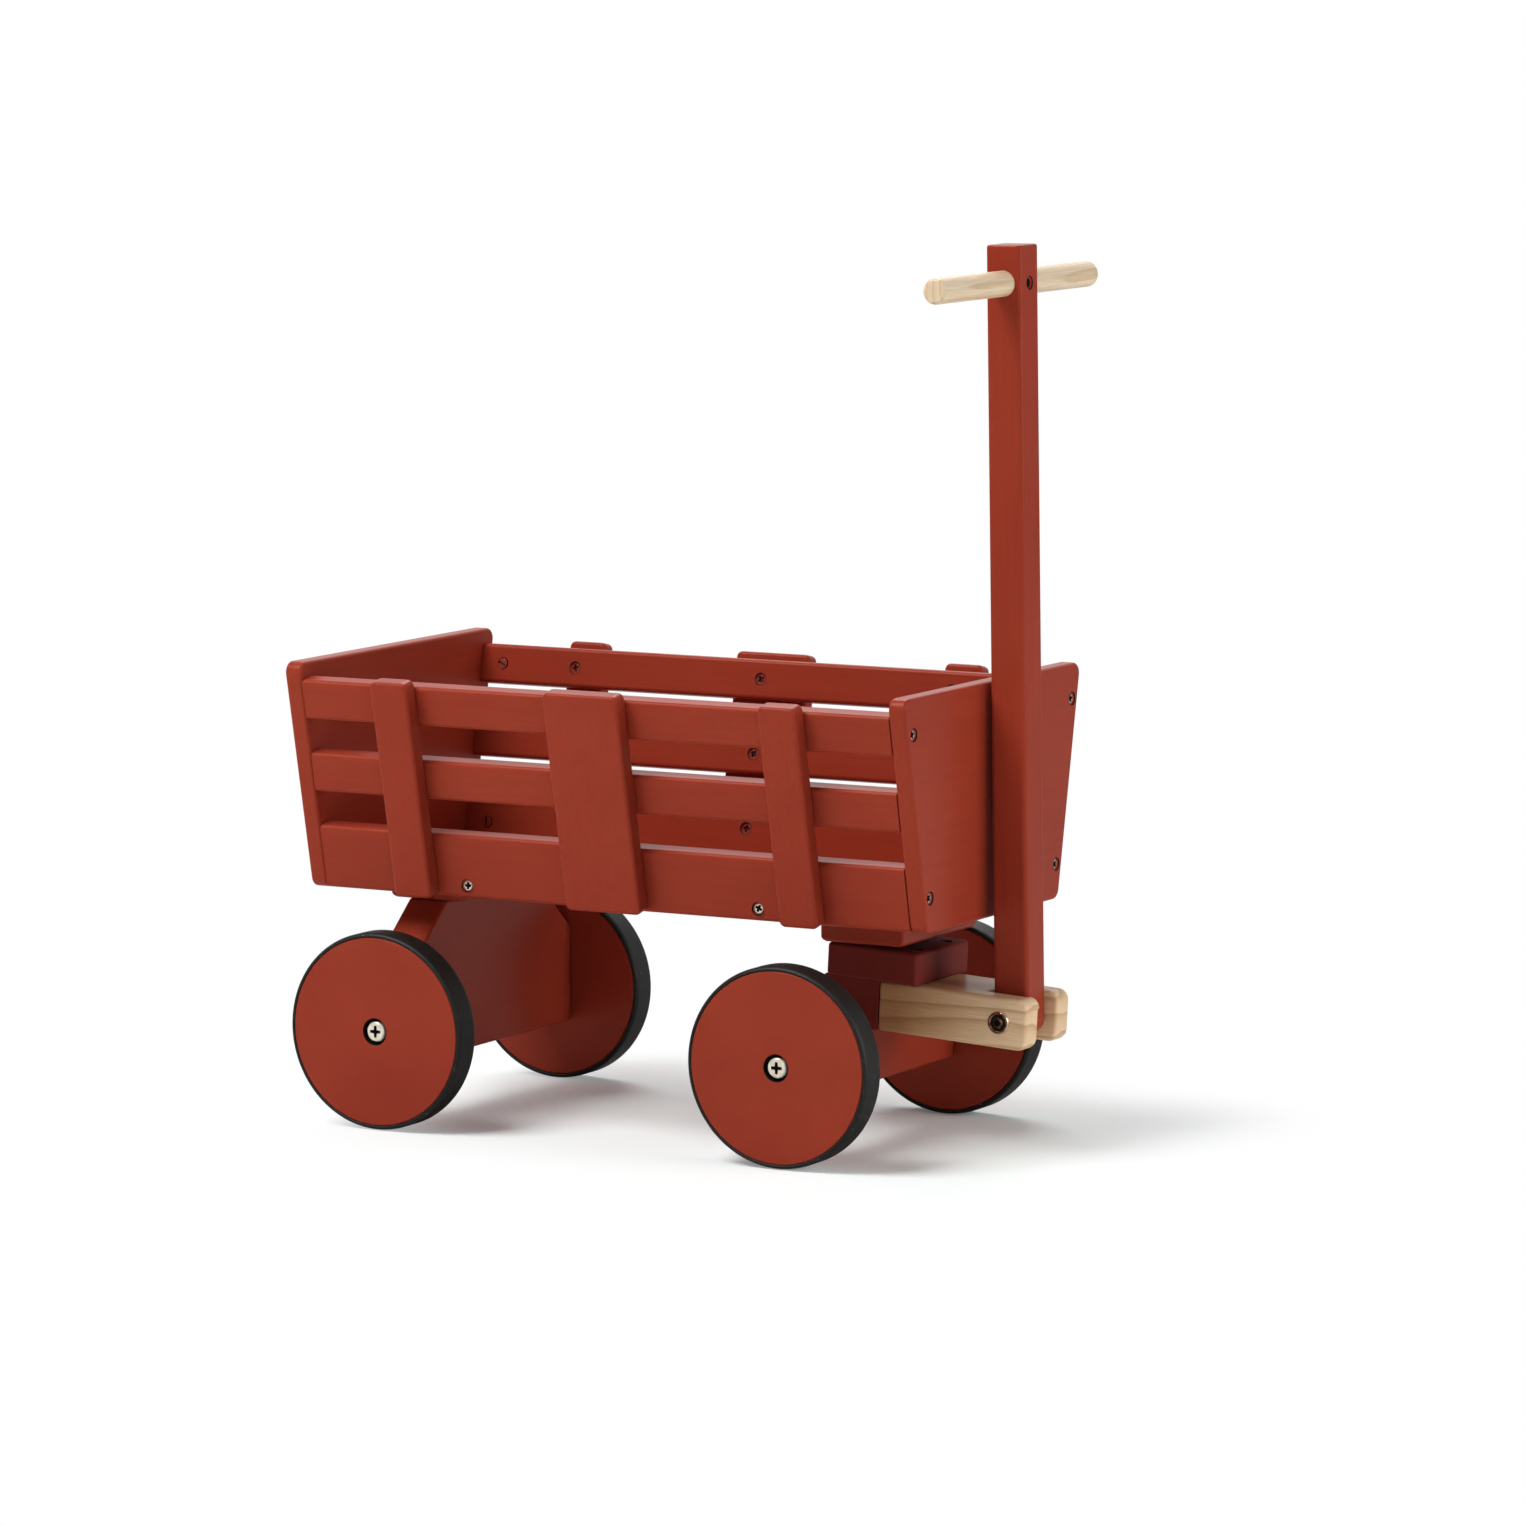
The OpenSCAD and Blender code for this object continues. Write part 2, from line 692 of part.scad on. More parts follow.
module flat_washer(r, t) {
    difference() {
        cylinder(h = t, r = r);
        translate([0, 0, -1]) cylinder(h = t + 2, r = king_d / 2 + fixed_fit);
    }
}

module king_washer() {
    color(steel) placed() translate([bolster_x, 0, pocket_top - face_gap - nut_washer_t])
        flat_washer(nut_pocket_r - 1, nut_washer_t);
}

// Fills the wedge between the level bolster and the tilted turntable block
turntable_washer_r = 15;
turntable_washer_t = turntable_play - turntable_washer_r * tan(truck_tilt) - face_gap;

module turntable_washer() {
    color(steel) placed() translate([bolster_x, 0, front_bolster_z - turntable_washer_t])
        flat_washer(turntable_washer_r, turntable_washer_t);
}

// ---- Handle pivot ----

bolt_shank_r = 3;
// The sleeve stops short of the bolt's head, and the bolt of the sleeve's closed end
sleeve_short = 8;
bolt_short = 14;
sleeve_l = drawbar_w - sleeve_short;
bolt_reach = drawbar_w - bolt_short;
pivot_bevel = 0.6;
pivot_hex_r = 2.6;
pivot_hex_depth = 1.1;

module pivot_place(side) {
    placed() truck_frame() translate([pivot_x, 0, pivot_z]) rotate([90, 0, 0]) rotate([0, side > 0 ? 180 : 0, 0])
        translate([0, 0, drawbar_w / 2]) children();
}

module pivot_head() {
    difference() {
        cylinder(h = pivot_head_t, r1 = pivot_head_d / 2, r2 = pivot_head_d / 2 - pivot_bevel);
        translate([0, 0, pivot_head_t - pivot_hex_depth]) cylinder(h = 2, r = pivot_hex_r, $fn = 6);
    }
}

// Sleeve nut from the right, with the bolt screwed into it from the left
module pivot_sleeve() {
    color(bronze) pivot_place(-1) {
        pivot_head();
        translate([0, 0, -sleeve_l]) difference() {
            cylinder(h = sleeve_l, r = sleeve_d / 2);
            translate([0, 0, -1]) cylinder(h = sleeve_l - 1, r = bolt_shank_r + fixed_fit);
        }
    }
}

module pivot_bolt() {
    color(bronze) pivot_place(1) {
        pivot_head();
        translate([0, 0, -bolt_reach]) cylinder(h = bolt_reach, r = bolt_shank_r);
    }
}

// ---- Handle ----

grip_z = bar_l - grip_drop;
grip_screw_l = 22;
grip_end_r = 2;

module at_grip_screw() {
    translate([bar_d / 2, 0, grip_z]) rotate([0, 90, 0]) children();
}

// Outline of the bar seen from its side: square on top, round about the pivot below
module bar_outline() {
    translate([-bar_d / 2, 0]) square([bar_d, bar_l]);
    circle(bar_d / 2);
}

module handle_bar() {
    color(paint) placed() handle_frame() difference() {
        intersection() {
            translate([-bar_d / 2, -bar_w / 2, -bar_d / 2]) linear_extrude(bar_l + bar_d / 2)
                rounded_rect(bar_d, bar_w, bar_r);
            translate([0, bar_w / 2, 0]) rotate([90, 0, 0]) linear_extrude(bar_w) bar_outline();
        }
        translate([0, bar_w, 0]) rotate([90, 0, 0])
            cylinder(h = 2 * bar_w, r = sleeve_d / 2 + running_fit);
        translate([0, bar_w, grip_z]) rotate([90, 0, 0])
            cylinder(h = 2 * bar_w, r = grip_d / 2 + fixed_fit);
        at_grip_screw() screw_hole(grip_screw_l);
    }
}

module grip_dowel() {
    color(pine) placed() handle_frame() difference() {
        translate([0, 0, grip_z]) rotate([90, 0, 0]) rotate_extrude() {
            translate([0, -grip_l / 2]) square([grip_d / 2 - grip_end_r, grip_l]);
            translate([0, -grip_l / 2 + grip_end_r]) square([grip_d / 2, grip_l - 2 * grip_end_r]);
            for (s = [-1, 1]) translate([grip_d / 2 - grip_end_r, s * (grip_l / 2 - grip_end_r)])
                circle(grip_end_r);
        }
        at_grip_screw() screw_hole(grip_screw_l);
    }
}

module grip_screw() {
    color(bronze) placed() handle_frame() at_grip_screw() wood_screw(grip_screw_l);
}

// ---- Groups of box fasteners ----

module end_board_screws() {
    color(nickel) placed() for (side = [-1, 1], end = [-1, 1])
        wall_frame(side) at_end_screws(end) wood_screw(end_screw_l);
}

module cross_dowels() {
    color(paint) placed() for (side = [-1, 1], end = [-1, 1])
        difference() {
            wall_frame(side) at_cross_dowels(end) translate([0, 0, -dowel_len()])
                cylinder(h = dowel_len(), r = dowel_d / 2);
            wall_frame(side) at_end_screws(end) screw_hole(end_screw_l);
        }
}

module stake_screws() {
    color(paint) placed() for (side = [-1, 1], x = [-stake_pitch, 0, stake_pitch])
        wall_frame(side) at_stake_screws(x) wood_screw(stake_screw_l);
}

module floor_edge_screws() {
    color(nickel) placed() for (side = [-1, 1]) at_floor_screws(side) wood_screw(floor_screw_l);
}

module bolster_screws() {
    color(nickel) placed() at_bolster_screws() wood_screw(bolster_screw_l);
}

module axle_block_screws() {
    color(nickel) placed() at_axle_block_screws() wood_screw(axle_screw_l);
}

// ---- What is drawn ----

floor_panel();
front_end_board();
rear_end_board();
low_slat(-1);  // right_low_slat
mid_slat(-1);  // right_mid_slat
top_slat(-1);  // right_top_slat
low_slat(1);  // left_low_slat
mid_slat(1);  // left_mid_slat
top_slat(1);  // left_top_slat
outer_stake(-1, -1);  // right_rear_stake
wide_stake(-1);  // right_wide_stake
outer_stake(-1, 1);  // right_front_stake
outer_stake(1, -1);  // left_rear_stake
wide_stake(1);  // left_wide_stake
outer_stake(1, 1);  // left_front_stake
rear_bolster();
front_bolster();
rear_axle_block();
end_board_screws();
cross_dowels();
stake_screws();
floor_edge_screws();
bolster_screws();
axle_block_screws();
rear_wheel_screws();
rear_axle_washers();
king_bolt();
king_nut();
king_washer();
turntable_washer();
turntable_block();
truck_block();
front_axle_beam();
drawbar_fork();
turntable_screws();
beam_screws();
front_wheel_screws();
front_axle_washers();
pivot_sleeve();
pivot_bolt();
handle_bar();
grip_dowel();
grip_screw();
rear_disc(-1);  // rear_right_disc
rear_tyre(-1);  // rear_right_tyre
rear_disc(1);  // rear_left_disc
rear_tyre(1);  // rear_left_tyre
front_disc(-1);  // front_right_disc
front_tyre(-1);  // front_right_tyre
front_disc(1);  // front_left_disc
front_tyre(1);  // front_left_tyre
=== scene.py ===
"""Looks of the wooden pull wagon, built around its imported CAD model.

Pieces and patterns are given in millimetres and multiplied by MM, the studio in metres."""

import json
import math

import bmesh
import bpy
import numpy as np
from mathutils import Matrix, Vector


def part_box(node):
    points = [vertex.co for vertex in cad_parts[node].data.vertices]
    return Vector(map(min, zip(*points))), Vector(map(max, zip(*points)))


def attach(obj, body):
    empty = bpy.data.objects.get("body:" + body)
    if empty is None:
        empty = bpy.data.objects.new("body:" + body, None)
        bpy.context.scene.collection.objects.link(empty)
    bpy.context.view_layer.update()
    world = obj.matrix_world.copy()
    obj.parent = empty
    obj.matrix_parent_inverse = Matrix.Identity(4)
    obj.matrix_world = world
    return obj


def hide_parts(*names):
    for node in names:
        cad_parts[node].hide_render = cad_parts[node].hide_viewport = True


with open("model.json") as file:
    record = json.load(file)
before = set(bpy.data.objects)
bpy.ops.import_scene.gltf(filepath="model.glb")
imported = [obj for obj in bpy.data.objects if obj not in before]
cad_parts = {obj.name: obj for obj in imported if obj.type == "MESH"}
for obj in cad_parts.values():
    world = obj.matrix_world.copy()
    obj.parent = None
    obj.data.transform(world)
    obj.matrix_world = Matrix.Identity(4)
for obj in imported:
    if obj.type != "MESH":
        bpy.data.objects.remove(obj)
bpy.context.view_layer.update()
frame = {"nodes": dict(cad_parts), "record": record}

MM = 0.001
NODES = frame["nodes"]
RECORD = frame["record"]
BODY_OF = {n: body for body, members in RECORD["behaviour"]["bodies"].items() for n in members}
FORK_TILT = math.radians(3.25)  # the truck rests nose-down, and the fork's grain tilts with it


# ---- Finishes ----

# Sockets of a Mix node share their names, so they are picked by place
FACTOR, NUMBER_A, NUMBER_B, COLOUR_A, COLOUR_B = 0, 2, 3, 6, 7
NUMBER_OUT, COLOUR_OUT = 0, 2
MIX_NUMBERS = {"data_type": "FLOAT"}
TINT = {"data_type": "RGBA", "blend_type": "MULTIPLY"}
SOFT_STEP = {"interpolation_type": "SMOOTHSTEP"}


def linear(code):
    """An sRGB hex colour as linear red, green, blue and alpha."""
    parts = [int(code[i : i + 2], 16) / 255 for i in (1, 3, 5)]
    return [c / 12.92 if c <= 0.04045 else ((c + 0.055) / 1.055) ** 2.4 for c in parts] + [1]


WHITE = linear("#FFFFFF")


def per_mm(*sizes):
    """Texture scale at which a pattern repeats once in each of these lengths in millimetres."""
    return [1 / (s * MM) for s in sizes]


def plug(node, sockets):
    """Gives input sockets their values, or links them to the sockets that the values come from."""
    for name, value in sockets.items():
        if isinstance(value, bpy.types.NodeSocket):
            node.id_data.links.new(value, node.inputs[name])
        else:
            node.inputs[name].default_value = value


def add(tree, kind, settings=None, sockets=None, stops=()):
    """Adds a node with its settings and sockets. stops are a colour ramp's (place, hex) pairs."""
    node = tree.nodes.new(kind)
    for name, value in (settings or {}).items():
        setattr(node, name, value)
    plug(node, sockets or {})
    while stops and len(node.color_ramp.elements) < len(stops):
        node.color_ramp.elements.new(0.5)
    for i, (place, code) in enumerate(stops):
        node.color_ramp.elements[i].position = place
        node.color_ramp.elements[i].color = linear(code)
    return node


def material(name):
    """A new material, with its node tree and its Principled shader."""
    made = bpy.data.materials.new(name)
    made.use_nodes = True
    return made, made.node_tree, made.node_tree.nodes["Principled BSDF"]


def stretched_noise(tree, sizes, detail=2, roughness=0.5, turn=(0, 0, 0)):
    """Noise whose cells have these lengths in millimetres along the object's X, Y and Z.

    turn is the cells' rotation in radians."""
    place = add(tree, "ShaderNodeTexCoord").outputs["Object"]
    rotated = add(
        tree,
        "ShaderNodeMapping",
        {"vector_type": "TEXTURE"},
        {"Vector": place, "Rotation": turn},
    )
    scaled = add(
        tree,
        "ShaderNodeMapping",
        sockets={"Vector": rotated.outputs["Vector"], "Scale": per_mm(*sizes)},
    )
    noise = add(
        tree,
        "ShaderNodeTexNoise",
        sockets={
            "Vector": scaled.outputs["Vector"],
            "Scale": 1,
            "Detail": detail,
            "Roughness": roughness,
        },
    )
    return noise.outputs["Fac"]


def enamelled_pine(name, grain, tones=("#923322", "#993926"), shine=0.22, roughness=0.3):
    """Alkyd enamel sprayed on sanded wood: an even brick red with a satin shine.

    A faint orange peel, about 2 mm from bump to bump, breaks up the reflections, and the grain
    telegraphs through a little. grain gives the lengths of the grain's streaks along X, Y and Z
    in millimetres."""
    made, tree, paint = material(name)
    clouds = stretched_noise(tree, (120, 120, 120), detail=3)
    streaks = stretched_noise(tree, grain, detail=3)
    peel = stretched_noise(tree, (1.8, 1.8, 1.8), detail=1)
    coat = add(
        tree,
        "ShaderNodeValToRGB",
        sockets={"Fac": clouds},
        stops=((0.3, tones[0]), (0.7, tones[1])),
    )
    shading = add(
        tree,
        "ShaderNodeValToRGB",
        sockets={"Fac": streaks},
        stops=((0.35, "#EAEAEA"), (0.6, "#FFFFFF")),
    )
    grained = add(
        tree,
        "ShaderNodeMix",
        TINT,
        {FACTOR: 0.35, COLOUR_A: coat.outputs["Color"], COLOUR_B: shading.outputs["Color"]},
    )
    ridges = add(
        tree,
        "ShaderNodeBump",
        sockets={"Height": streaks, "Strength": 0.35, "Distance": 0.04 * MM},
    )
    surface = add(
        tree,
        "ShaderNodeBump",
        sockets={
            "Height": peel,
            "Strength": 0.35,
            "Distance": 0.03 * MM,
            "Normal": ridges.outputs["Normal"],
        },
    )
    plug(
        paint,
        {
            "Base Color": grained.outputs[COLOUR_OUT],
            "Normal": surface.outputs["Normal"],
            "Roughness": roughness,
            "IOR": 1.46,
            "Specular IOR Level": shine,
            "Specular Tint": linear("#FFB8A8"),
        },
    )
    return made


def lacquered_pine(name, axis, pith, pitch, tones, turn=(0, 0, 0), painted_shade_span=None):
    """Pine planed and sealed with clear satin lacquer: its growth rings run along the piece as
    wavy bands and show as arcs on its ends. Its fibres, a tenth of a millimetre across, are
    drawn at half a millimetre, so that they show.

    axis is the grain's direction, pith a point on the trunk's heart in metres and pitch the ring
    spacing in millimetres. tones are the early wood, the middle and the late wood. The last
    argument gives the X in metres where the wood is painted darkest, as painted shade from the
    truck's blocks, and the X from which it keeps its own colour."""

    def lengthwise(along, across):
        """X, Y and Z sizes of something that has one size along the grain and one across it."""
        return [along if i == axis else across for i in range(3)]

    ring_sway = 2.8  # ring widths by which the bands wander
    ring_taper = 0.035  # how far a ring drifts across the piece for each unit along it
    early, middle, late = tones
    made, tree, wood = material(name)
    place = add(tree, "ShaderNodeTexCoord").outputs["Object"]
    rotated = add(
        tree,
        "ShaderNodeMapping",
        {"vector_type": "TEXTURE"},
        {"Vector": place, "Rotation": turn},
    )
    drawn_out = add(
        tree,
        "ShaderNodeVectorMath",
        {"operation": "MULTIPLY"},
        {0: rotated.outputs["Vector"], 1: lengthwise(ring_taper, 1)},
    )
    from_pith = add(
        tree,
        "ShaderNodeVectorMath",
        {"operation": "DISTANCE"},
        {0: drawn_out.outputs["Vector"], 1: pith},
    )
    waviness = stretched_noise(tree, lengthwise(170, 34), turn=turn)
    sway = add(tree, "ShaderNodeMath", {"operation": "MULTIPLY"}, {0: waviness, 1: ring_sway})
    rings = add(
        tree,
        "ShaderNodeMath",
        {"operation": "MULTIPLY_ADD"},
        {0: from_pith.outputs["Value"], 1: 1 / (pitch * MM), 2: sway.outputs["Value"]},
    )
    ring = add(tree, "ShaderNodeMath", {"operation": "FRACT"}, {0: rings.outputs["Value"]})
    ringed = add(
        tree,
        "ShaderNodeValToRGB",
        sockets={"Fac": ring.outputs["Value"]},
        stops=((0.0, early), (0.5, middle), (0.84, late), (0.93, early)),
    )
    fibres = stretched_noise(tree, lengthwise(26, 0.5), 3, 0.65, turn)
    threads = add(
        tree,
        "ShaderNodeValToRGB",
        sockets={"Fac": fibres},
        stops=((0.3, "#D9CDBF"), (0.65, "#FFFFFF")),
    )
    streaked = add(
        tree,
        "ShaderNodeMix",
        TINT,
        {FACTOR: 0.75, COLOUR_A: ringed.outputs["Color"], COLOUR_B: threads.outputs["Color"]},
    )
    shown = streaked.outputs[COLOUR_OUT]
    # Towards the rear the wood is painted darker: painted shade where the truck's blocks and
    # wheels shade it
    if painted_shade_span:
        along_x = add(tree, "ShaderNodeSeparateXYZ", sockets={"Vector": place}).outputs["X"]
        out_of_painted_shade = add(
            tree,
            "ShaderNodeMapRange",
            sockets={"Value": along_x, "From Min": painted_shade_span[0], "From Max": painted_shade_span[1]},
        )
        dust_and_painted_shade = add(
            tree,
            "ShaderNodeValToRGB",
            sockets={"Fac": out_of_painted_shade.outputs["Result"]},
            stops=((0, "#CDB9A2"), (1, "#FFFFFF")),
        )
        darkened_by_painted_shade = add(
            tree,
            "ShaderNodeMix",
            TINT,
            {FACTOR: 1, COLOUR_A: shown, COLOUR_B: dust_and_painted_shade.outputs["Color"]},
        )
        shown = darkened_by_painted_shade.outputs[COLOUR_OUT]
    ridges = add(
        tree,
        "ShaderNodeBump",
        sockets={"Height": fibres, "Strength": 0.4, "Distance": 0.05 * MM},
    )
    plug(
        wood,
        {
            "Base Color": shown,
            "Normal": ridges.outputs["Normal"],
            "Roughness": 0.42,
            "Coat Weight": 0.25,
            "Coat Roughness": 0.25,
        },
    )
    return made


def extruded_rubber():
    """EPDM rubber, extruded and pressed on the disc: charcoal and matt, with specks of pale dust.

    Its grain of some 0.2 mm is drawn at 0.9 mm, so that it shows."""
    made, tree, rubber = material("extruded_rubber")
    grain = stretched_noise(tree, (0.9, 0.9, 0.9), detail=2)
    dust_and_painted_shade = stretched_noise(tree, (2.6, 2.6, 2.6), detail=4, roughness=0.75)
    tone = add(
        tree,
        "ShaderNodeValToRGB",
        sockets={"Fac": dust_and_painted_shade},
        stops=((0.63, "#171917"), (0.74, "#6C6C69")),
    )
    bump = add(
        tree,
        "ShaderNodeBump",
        sockets={"Height": grain, "Strength": 0.6, "Distance": 0.08 * MM},
    )
    plug(
        rubber,
        {
            "Base Color": tone.outputs["Color"],
            "Normal": bump.outputs["Normal"],
            "Roughness": 0.5,
            "Specular IOR Level": 0.3,
        },
    )
    return made


def plated_steel(name, pale, dark, roughness, metallic=1.0):
    """Machined steel with an electroplated skin: a metal shine, with soft clouding from handling.

    A satin plating scatters part of its light, so it is less than fully metallic. The turning
    marks, a tenth of a millimetre apart, are drawn at half a millimetre, so that they show."""
    made, tree, metal = material(name)
    clouds = stretched_noise(tree, (3, 3, 3), detail=3)
    turning = stretched_noise(tree, (0.5, 0.5, 0.5), detail=2)
    tone = add(
        tree,
        "ShaderNodeValToRGB",
        sockets={"Fac": clouds},
        stops=((0.35, dark), (0.65, pale)),
    )
    bump = add(
        tree,
        "ShaderNodeBump",
        sockets={"Height": turning, "Strength": 0.3, "Distance": 0.02 * MM},
    )
    plug(
        metal,
        {
            "Base Color": tone.outputs["Color"],
            "Normal": bump.outputs["Normal"],
            "Metallic": metallic,
            "Roughness": roughness,
        },
    )
    return made


def painted_over_steel(name, dark, pale):
    """Screw heads sprayed together with the wagon: its brick red, thick and lumpy in recesses."""
    made, tree, paint = material(name)
    lumps = stretched_noise(tree, (1.4, 1.4, 1.4), detail=2)
    tone = add(
        tree,
        "ShaderNodeValToRGB",
        sockets={"Fac": lumps},
        stops=((0.3, dark), (0.7, pale)),
    )
    bump = add(
        tree,
        "ShaderNodeBump",
        sockets={"Height": lumps, "Strength": 0.7, "Distance": 0.2 * MM},
    )
    plug(
        paint,
        {
            "Base Color": tone.outputs["Color"],
            "Normal": bump.outputs["Normal"],
            "Roughness": 0.38,
        },
    )
    return made


def black_shade_paint():
    """Black paint for recesses, bores and grooves, as painted shade: a black ring or cross."""
    made, tree, shade_paint = material("recess_painted_shade")
    dust_and_painted_shade = stretched_noise(tree, (0.8, 0.8, 0.8), detail=2)
    tone = add(
        tree,
        "ShaderNodeValToRGB",
        sockets={"Fac": dust_and_painted_shade},
        stops=((0.4, "#120E0C"), (0.75, "#241D19")),
    )
    plug(
        shade_paint,
        {"Base Color": tone.outputs["Color"], "Roughness": 0.7, "Specular IOR Level": 0.15},
    )
    return made


# The discs are cut from board, whose grain hardly shows. The truck's blocks sit in the wagon's
# shade, and their enamel is painted darker as painted shade, with a duller shine
ENAMEL_DISC = enamelled_pine("satin_enamel_on_board", (40, 40, 40), ("#8E3223", "#963826"))
ENAMEL_PAINTED_SHADE = enamelled_pine(
    "enamel_painted_darker", (2.2, 60, 2.2), ("#6E2823", "#78302A"), shine=0.12, roughness=0.55
)
# Solid pine shows its grain along the piece
ENAMEL_LONG = enamelled_pine("satin_enamel_lengthwise", (60, 2.2, 2.2))
ENAMEL_UPRIGHT = enamelled_pine("satin_enamel_upright", (2.2, 2.2, 60))
ENAMEL_ACROSS = enamelled_pine("satin_enamel_crosswise", (2.2, 60, 2.2))
DRAWBAR_PINE = lacquered_pine(
    "lacquered_pine_drawbar",
    axis=0,
    pith=(0, 0.012, -0.05),
    pitch=12,
    tones=("#F0CFA8", "#E9C59B", "#CFA87C"),
    turn=(0, FORK_TILT, 0),
    # its rear is painted darker, as painted shade under the truck's blocks
    painted_shade_span=(0.15, 0.215),
)
DOWEL_PINE = lacquered_pine(
    "lacquered_pine_dowel",
    axis=1,
    pith=(0.35, 0, 0.55),
    pitch=4.2,
    tones=("#E8D3B5", "#E3CBAA", "#D8BC98"),
)
RUBBER = extruded_rubber()
# Bright nickel on most screws. The end boards' screws get a darker, more clouded copy of it,
# painted shade and glints for the little light they catch. Bronze-tinted nickel on the pivot's
# caps, with a pale metal on their rims as a painted highlight. The grip's screw is oxidised black,
# and the truck's bolt is zinc plated
NICKEL = plated_steel("nickel_plated_steel", "#FAF3E4", "#E6DBC6", 0.26, metallic=0.4)
NICKEL_PAINTED_DARKER = plated_steel("nickel_painted_darker", "#F4EAD6", "#A99C88", 0.24, metallic=0.55)
BRONZED = plated_steel("bronzed_nickel_steel", "#A98468", "#4E382B", 0.1)
GLINT_METAL = plated_steel("pale_nickel_painted_glint", "#F5E9D6", "#D8C6AE", 0.16)
BLUED = plated_steel("black_oxide_steel", "#3A3532", "#171413", 0.14)
ZINC = plated_steel("zinc_plated_steel", "#B4B4B2", "#969694", 0.38)
OVERPAINT = painted_over_steel("painted_over_steel", "#7A2417", "#952F20")
# A dark red in the recesses of painted-over screws stands for their shade: painted shade
RED_SHADE_PAINT = painted_over_steel("red_painted_shade", "#3E120D", "#541A12")
# Black paint in recesses, bores and the pivot's groove stands for their shade: painted shade
BLACK_SHADE_PAINT = black_shade_paint()

# Marks that a mesh's faces carry as their material index
# Faces marked 1 get painted shade, and faces marked 2 a pale metal as a painted highlight
SHADE_MARK, GLINT_MARK = 1, 2


# ---- Meshes ----

WELD = 0.004 * MM  # CAD corners that are closer than this are one corner
CREASE = math.radians(35)  # a sharper edge than this stays crisp


def mesh_of(solid, name):
    """The mesh of a bmesh, which it uses up."""
    mesh = bpy.data.meshes.new(name)
    solid.to_mesh(mesh)
    solid.free()
    return mesh


def finish_piece(mesh, finish, node):
    """Links a mesh as the piece that stands for a CAD node, with smooth curves and crisp flats.

    Faces of recesses, bores and grooves carry a mark for painted shade: black, or a darker red
    on painted-over screws. Faces with the mark for a painted highlight get a pale polished metal."""
    marks = [face.material_index for face in mesh.polygons]
    mesh.materials.clear()
    mesh.materials.append(finish)
    if any(marks):
        mesh.materials.append(RED_SHADE_PAINT if finish == OVERPAINT else BLACK_SHADE_PAINT)
        mesh.materials.append(GLINT_METAL)
    mesh.polygons.foreach_set("material_index", marks)
    mesh.shade_smooth()
    mesh.set_sharp_from_angle(angle=CREASE)
    piece = bpy.data.objects.new(mesh.name, mesh)
    bpy.context.scene.collection.objects.link(piece)
    even = piece.modifiers.new("even_flats", "WEIGHTED_NORMAL")
    even.keep_sharp = True
    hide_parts(node)
    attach(piece, BODY_OF[node])


def welded(node):
    """The CAD node's shape with its triangles' corners joined."""
    solid = bmesh.new()
    solid.from_mesh(NODES[node].data)
    bmesh.ops.remove_doubles(solid, verts=solid.verts, dist=WELD)
    return solid


def eased(node, radius, finish):
    """A wooden piece with its outer edges rounded over, as sandpaper leaves them.

    Bores and countersinks keep crisp edges: their faces are small and lie within the piece."""
    flush, wide = 0.03 * MM, 150 * MM * MM  # a sanded face is outermost by this, or this large
    flat, corner = math.radians(0.6), math.radians(30)  # bends of one flat, and of a real edge
    solid = welded(node)
    bmesh.ops.dissolve_limit(solid, angle_limit=flat, verts=solid.verts, edges=solid.edges)
    points = np.array([v.co for v in solid.verts])

    def sanded(face):
        """Whether the sandpaper reaches this face."""
        reach = (points @ np.array(face.normal)).max()
        return reach - face.verts[0].co.dot(face.normal) < flush or face.calc_area() > wide

    reached = {face: sanded(face) for face in solid.faces}
    edges = [
        e
        for e in solid.edges
        if len(e.link_faces) == 2
        and e.is_convex
        and e.calc_face_angle(0) > corner
        and all(reached[f] for f in e.link_faces)
    ]
    bmesh.ops.bevel(
        solid,
        geom=edges,
        offset=radius * MM,
        offset_type="OFFSET",
        segments=4,
        profile=0.5,
        affect="EDGES",
        clamp_overlap=True,
    )
    finish_piece(mesh_of(solid, node + "_eased"), finish, node)


def arc(centre, radius, start, end, steps=6):
    """Points on an arc in a lathe profile, angles in degrees, as (radius, depth)."""
    turn = [math.radians(start + (end - start) * i / steps) for i in range(steps + 1)]
    return [
        (centre[0] + radius[0] * math.cos(t), centre[1] + radius[1] * math.sin(t)) for t in turn
    ]


def lathe(solid, profile, steps):
    """Adds the surface that a closed profile of (radius, depth) in millimetres makes round Z."""
    on_axis = 1e-6
    turns = [2 * math.pi * i / steps for i in range(steps)]
    rings = []
    for r, z in profile:
        if r < on_axis:
            rings.append([solid.verts.new((0, 0, z * MM))])
            continue
        ring = [(r * MM * math.cos(t), r * MM * math.sin(t), z * MM) for t in turns]
        rings.append([solid.verts.new(point) for point in ring])
    for a, b in zip(rings, rings[1:] + rings[:1]):
        if len(a) == len(b) == 1:
            continue
        for i in range(steps):
            j = (i + 1) % steps
            corners = [a[i % len(a)], a[j % len(a)], b[j % len(b)], b[i % len(b)]]
            solid.faces.new(list(dict.fromkeys(corners)))
    bmesh.ops.recalc_face_normals(solid, faces=solid.faces)


def axis_to(centre, direction):
    """Matrix that puts a lathe's +Z along direction, with its origin at centre."""
    turn = Vector(direction).to_track_quat("Z", "Y").to_matrix().to_4x4()
    return Matrix.Translation(centre) @ turn


